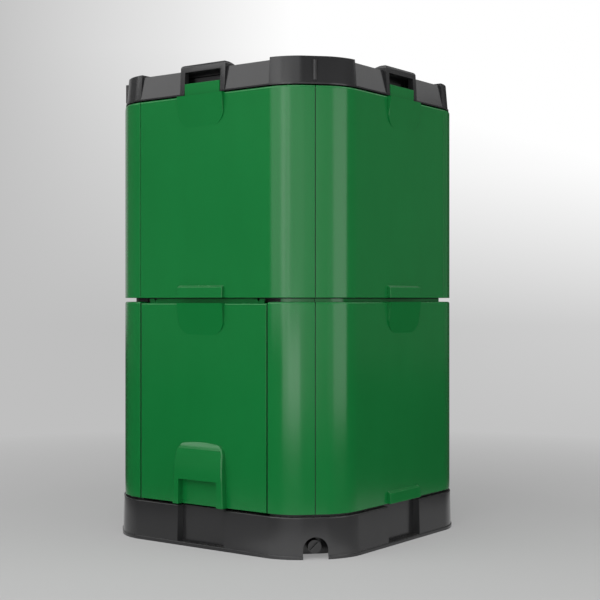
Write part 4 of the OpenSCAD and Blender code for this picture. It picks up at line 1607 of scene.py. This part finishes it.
@dataclass
class Backdrop:
    """Pale floor with a wall far behind it, turned to face the camera, with painted light for the camera and
    a painted reflection for the bin.

    A pair gives the ends between which a mask fades in. Those of the camera's own gradient are slopes of
    the line of sight. The others are places in metres, with Y away from the camera.
    """

    yaw: float
    eye_height: float
    eye_reach: float = 3.388
    eye_shift: float = 0.0306
    size: float = 16.0
    wall: float = 9.0
    paints: tuple[Colour, Colour] = (colour(185, 185, 185), colour(189, 189, 189))
    cloud: Pattern = Pattern(1.3)
    roughness: float = 0.9
    # The picture's own gradient, painted light that the camera sees: a plain tone, paler towards the upper
    # right of the back and at the right
    tone: float = 0.52
    back_tone: float = 0.47
    back_across: Pair = (-0.26, 0.02)
    back_up: Pair = (-0.02, 0.2)
    side_tone: float = 0.2
    side_across: Pair = (-0.1, 0.24)
    side_up: Pair = (-0.14, 0.1)
    fore: Pair = (-2.6, -1.2)
    away: Pair = (0.9, 2.6)
    # Least share of painted light that the camera sees on the floor near the bin, which lifts the bin's
    # shadow there; past away it sees only painted light
    least_painted_light: float = 0.45
    # Painted reflection that the bin's glossy rays see in place of the lit floor: the floor at its foot,
    # brighter before it, and dark further off
    foot_glow: float = 0.5
    ahead_glow: float = 0.9
    ahead_across: Pair = (0.34, 0.24)
    ahead_at: Pair = (-0.38, -0.48)
    beyond: Pair = (0.8, 1.15)
    far_glow: float = 0.05
    behind_glow: float = 0.4
    behind_across: Pair = (-0.8, -3.0)
    behind_up: Pair = (0.1, 0.5)

    def sheet(self) -> Work:
        """The floor, with its far edge pulled up to a wall.

        Returns:
            The sheet, in its place.
        """
        deselect()
        bpy.ops.mesh.primitive_plane_add(size=self.size, location=(0, 0, 0))
        sheet = Work(bpy.context.object)
        sheet.edges(lambda a, b: min(a.y, b.y) > self.size / 2 - 1)
        sheet.extrude((0, 0, self.wall))
        sheet.close()
        sheet.obj.rotation_euler = (0, 0, math.radians(self.yaw))
        sheet.obj.name = "backdrop"
        return sheet

    def seen(self, tree: Tree, x: Val, y: Val, z: Val) -> Val:
        """What the camera sees, as one soft gradient of painted light.

        Args:
            tree: The material's tree.
            x: Place across.
            y: Place away.
            z: Height.

        Returns:
            The shader.
        """
        depth = y + self.eye_reach
        across = (x - self.eye_shift) / depth
        up = (z - self.eye_height) / depth
        back = across.between(*self.back_across) * up.between(*self.back_up) * self.back_tone
        side = across.between(*self.side_across) * up.between(*self.side_up) * self.side_tone
        # Painted light: the backdrop is made paler towards the upper right and the right
        shade = ((back + side) * y.between(*self.fore) + self.tone).between(0.0, 1.0)
        return tree.node("ShaderNodeEmission", {}, {"Color": shade, "Strength": 1.0})

    def painted_reflection(self, tree: Tree, x: Val, y: Val, z: Val, far: Val) -> Val:
        """Painted reflection: what the bin mirrors in place of the lit floor.

        Args:
            tree: The material's tree.
            x: Place across.
            y: Place away.
            z: Height.
            far: Distance from the bin's middle.

        Returns:
            The shader.
        """
        ahead = x.size().between(*self.ahead_across) * y.between(*self.ahead_at)
        behind = x.between(*self.behind_across) * z.between(*self.behind_up)
        beyond = far.between(*self.beyond)
        near = (ahead * self.ahead_glow + self.foot_glow) * (1.0 - beyond)
        glow = near + (behind * self.behind_glow + self.far_glow) * beyond
        return tree.node("ShaderNodeEmission", {}, {"Color": (1, 1, 1, 1), "Strength": glow})

    def build(self) -> None:
        """Builds the backdrop and paints it."""
        sheet = self.sheet()
        tree = Tree("pale backdrop")
        place = tree.place()
        x, y, z = (tree.axis(place, letter) for letter in "XYZ")
        far = tree.node("ShaderNodeVectorMath", {"operation": "LENGTH"}, {0: place}, "Value")
        paint = tree.blend(tree.noise(self.cloud), *self.paints)
        solid = tree.node("ShaderNodeBsdfPrincipled", {}, {"Base Color": paint, "Roughness": self.roughness})
        camera = tree.node("ShaderNodeLightPath", {}, {}, "Is Camera Ray")
        mirror = tree.node("ShaderNodeLightPath", {}, {}, "Is Glossy Ray")
        # The camera sees the lit floor mixed with painted light, which lifts the bin's shadow on the floor
        share = (far.between(*self.away) * (1 - self.least_painted_light) + self.least_painted_light) * camera
        lit = tree.node("ShaderNodeMixShader", {}, {0: share, 1: solid, 2: self.seen(tree, x, y, z)})
        # Glossy rays see the painted reflection, not the lit floor
        dim = self.painted_reflection(tree, x, y, z, far)
        tree.end(tree.node("ShaderNodeMixShader", {}, {0: mirror, 1: lit, 2: dim}))
        sheet.obj.data.materials.append(tree.material)


@dataclass
class Studio:
    """Pale backdrop, soft lamps, dim world, and the camera of the photograph."""

    yaw: float = 36.15
    eye: tuple[float, float, float] = (2.0233, -2.7178, 0.6066)
    lens: float = 75.9
    sensor: float = 36.0
    aim: float = 0.6
    ambient: float = 0.17
    ambient_shade: float = 0.9
    horizon_shade: float = 0.62

    def camera(self) -> None:
        """Sets the camera, level and at the height of its eye."""
        data = bpy.data.cameras.new("camera")
        data.lens = self.lens
        data.sensor_width = self.sensor
        data.clip_end = 100
        camera = bpy.data.objects.new("camera", data)
        bpy.context.scene.collection.objects.link(camera)
        camera.location = self.eye
        camera.rotation_euler = (math.radians(90), 0, math.radians(self.yaw))
        bpy.context.scene.camera = camera

    def sky(self) -> None:
        """Dim world, pale where the camera sees it."""
        world = bpy.data.worlds.new("studio")
        world.use_nodes = True
        bpy.context.scene.world = world
        nodes, links = world.node_tree.nodes, world.node_tree.links
        nodes.clear()
        path = nodes.new("ShaderNodeLightPath")
        mix = nodes.new("ShaderNodeMixShader")
        out = nodes.new("ShaderNodeOutputWorld")
        links.new(path.outputs["Is Camera Ray"], mix.inputs[0])
        shades = ((self.ambient_shade, self.ambient), (self.horizon_shade, 1.0))
        for at, (shade, strength) in enumerate(shades, 1):
            back = nodes.new("ShaderNodeBackground")
            back.inputs["Color"].default_value = (shade, shade, shade, 1)
            back.inputs["Strength"].default_value = strength
            links.new(back.outputs[0], mix.inputs[at])
        links.new(mix.outputs[0], out.inputs[0])

    def build(self) -> None:
        """Sets up the studio."""
        self.camera()
        Backdrop(self.yaw, self.eye[2]).build()
        self.sky()
        for lamp in LAMPS:
            lamp.build(Vector((0, 0, self.aim)))
        bpy.context.scene.view_settings.view_transform = "Standard"


def main() -> None:
    """Builds and dresses the whole bin."""
    logging.basicConfig(level=logging.INFO, format="%(message)s")
    DRESS.dress_nodes()
    panels = Panels()
    panels.build_lower()
    panels.build_upper()
    Door(FRONT, Body.FRONT_DOOR, "front_door_skin", panels).build()
    Door(BACK, Body.BACK_DOOR, "back_door_skin", panels).build()
    Lid().build()
    Base().build()
    Studio().build()
    deselect()


if __name__ == "__main__":
    main()
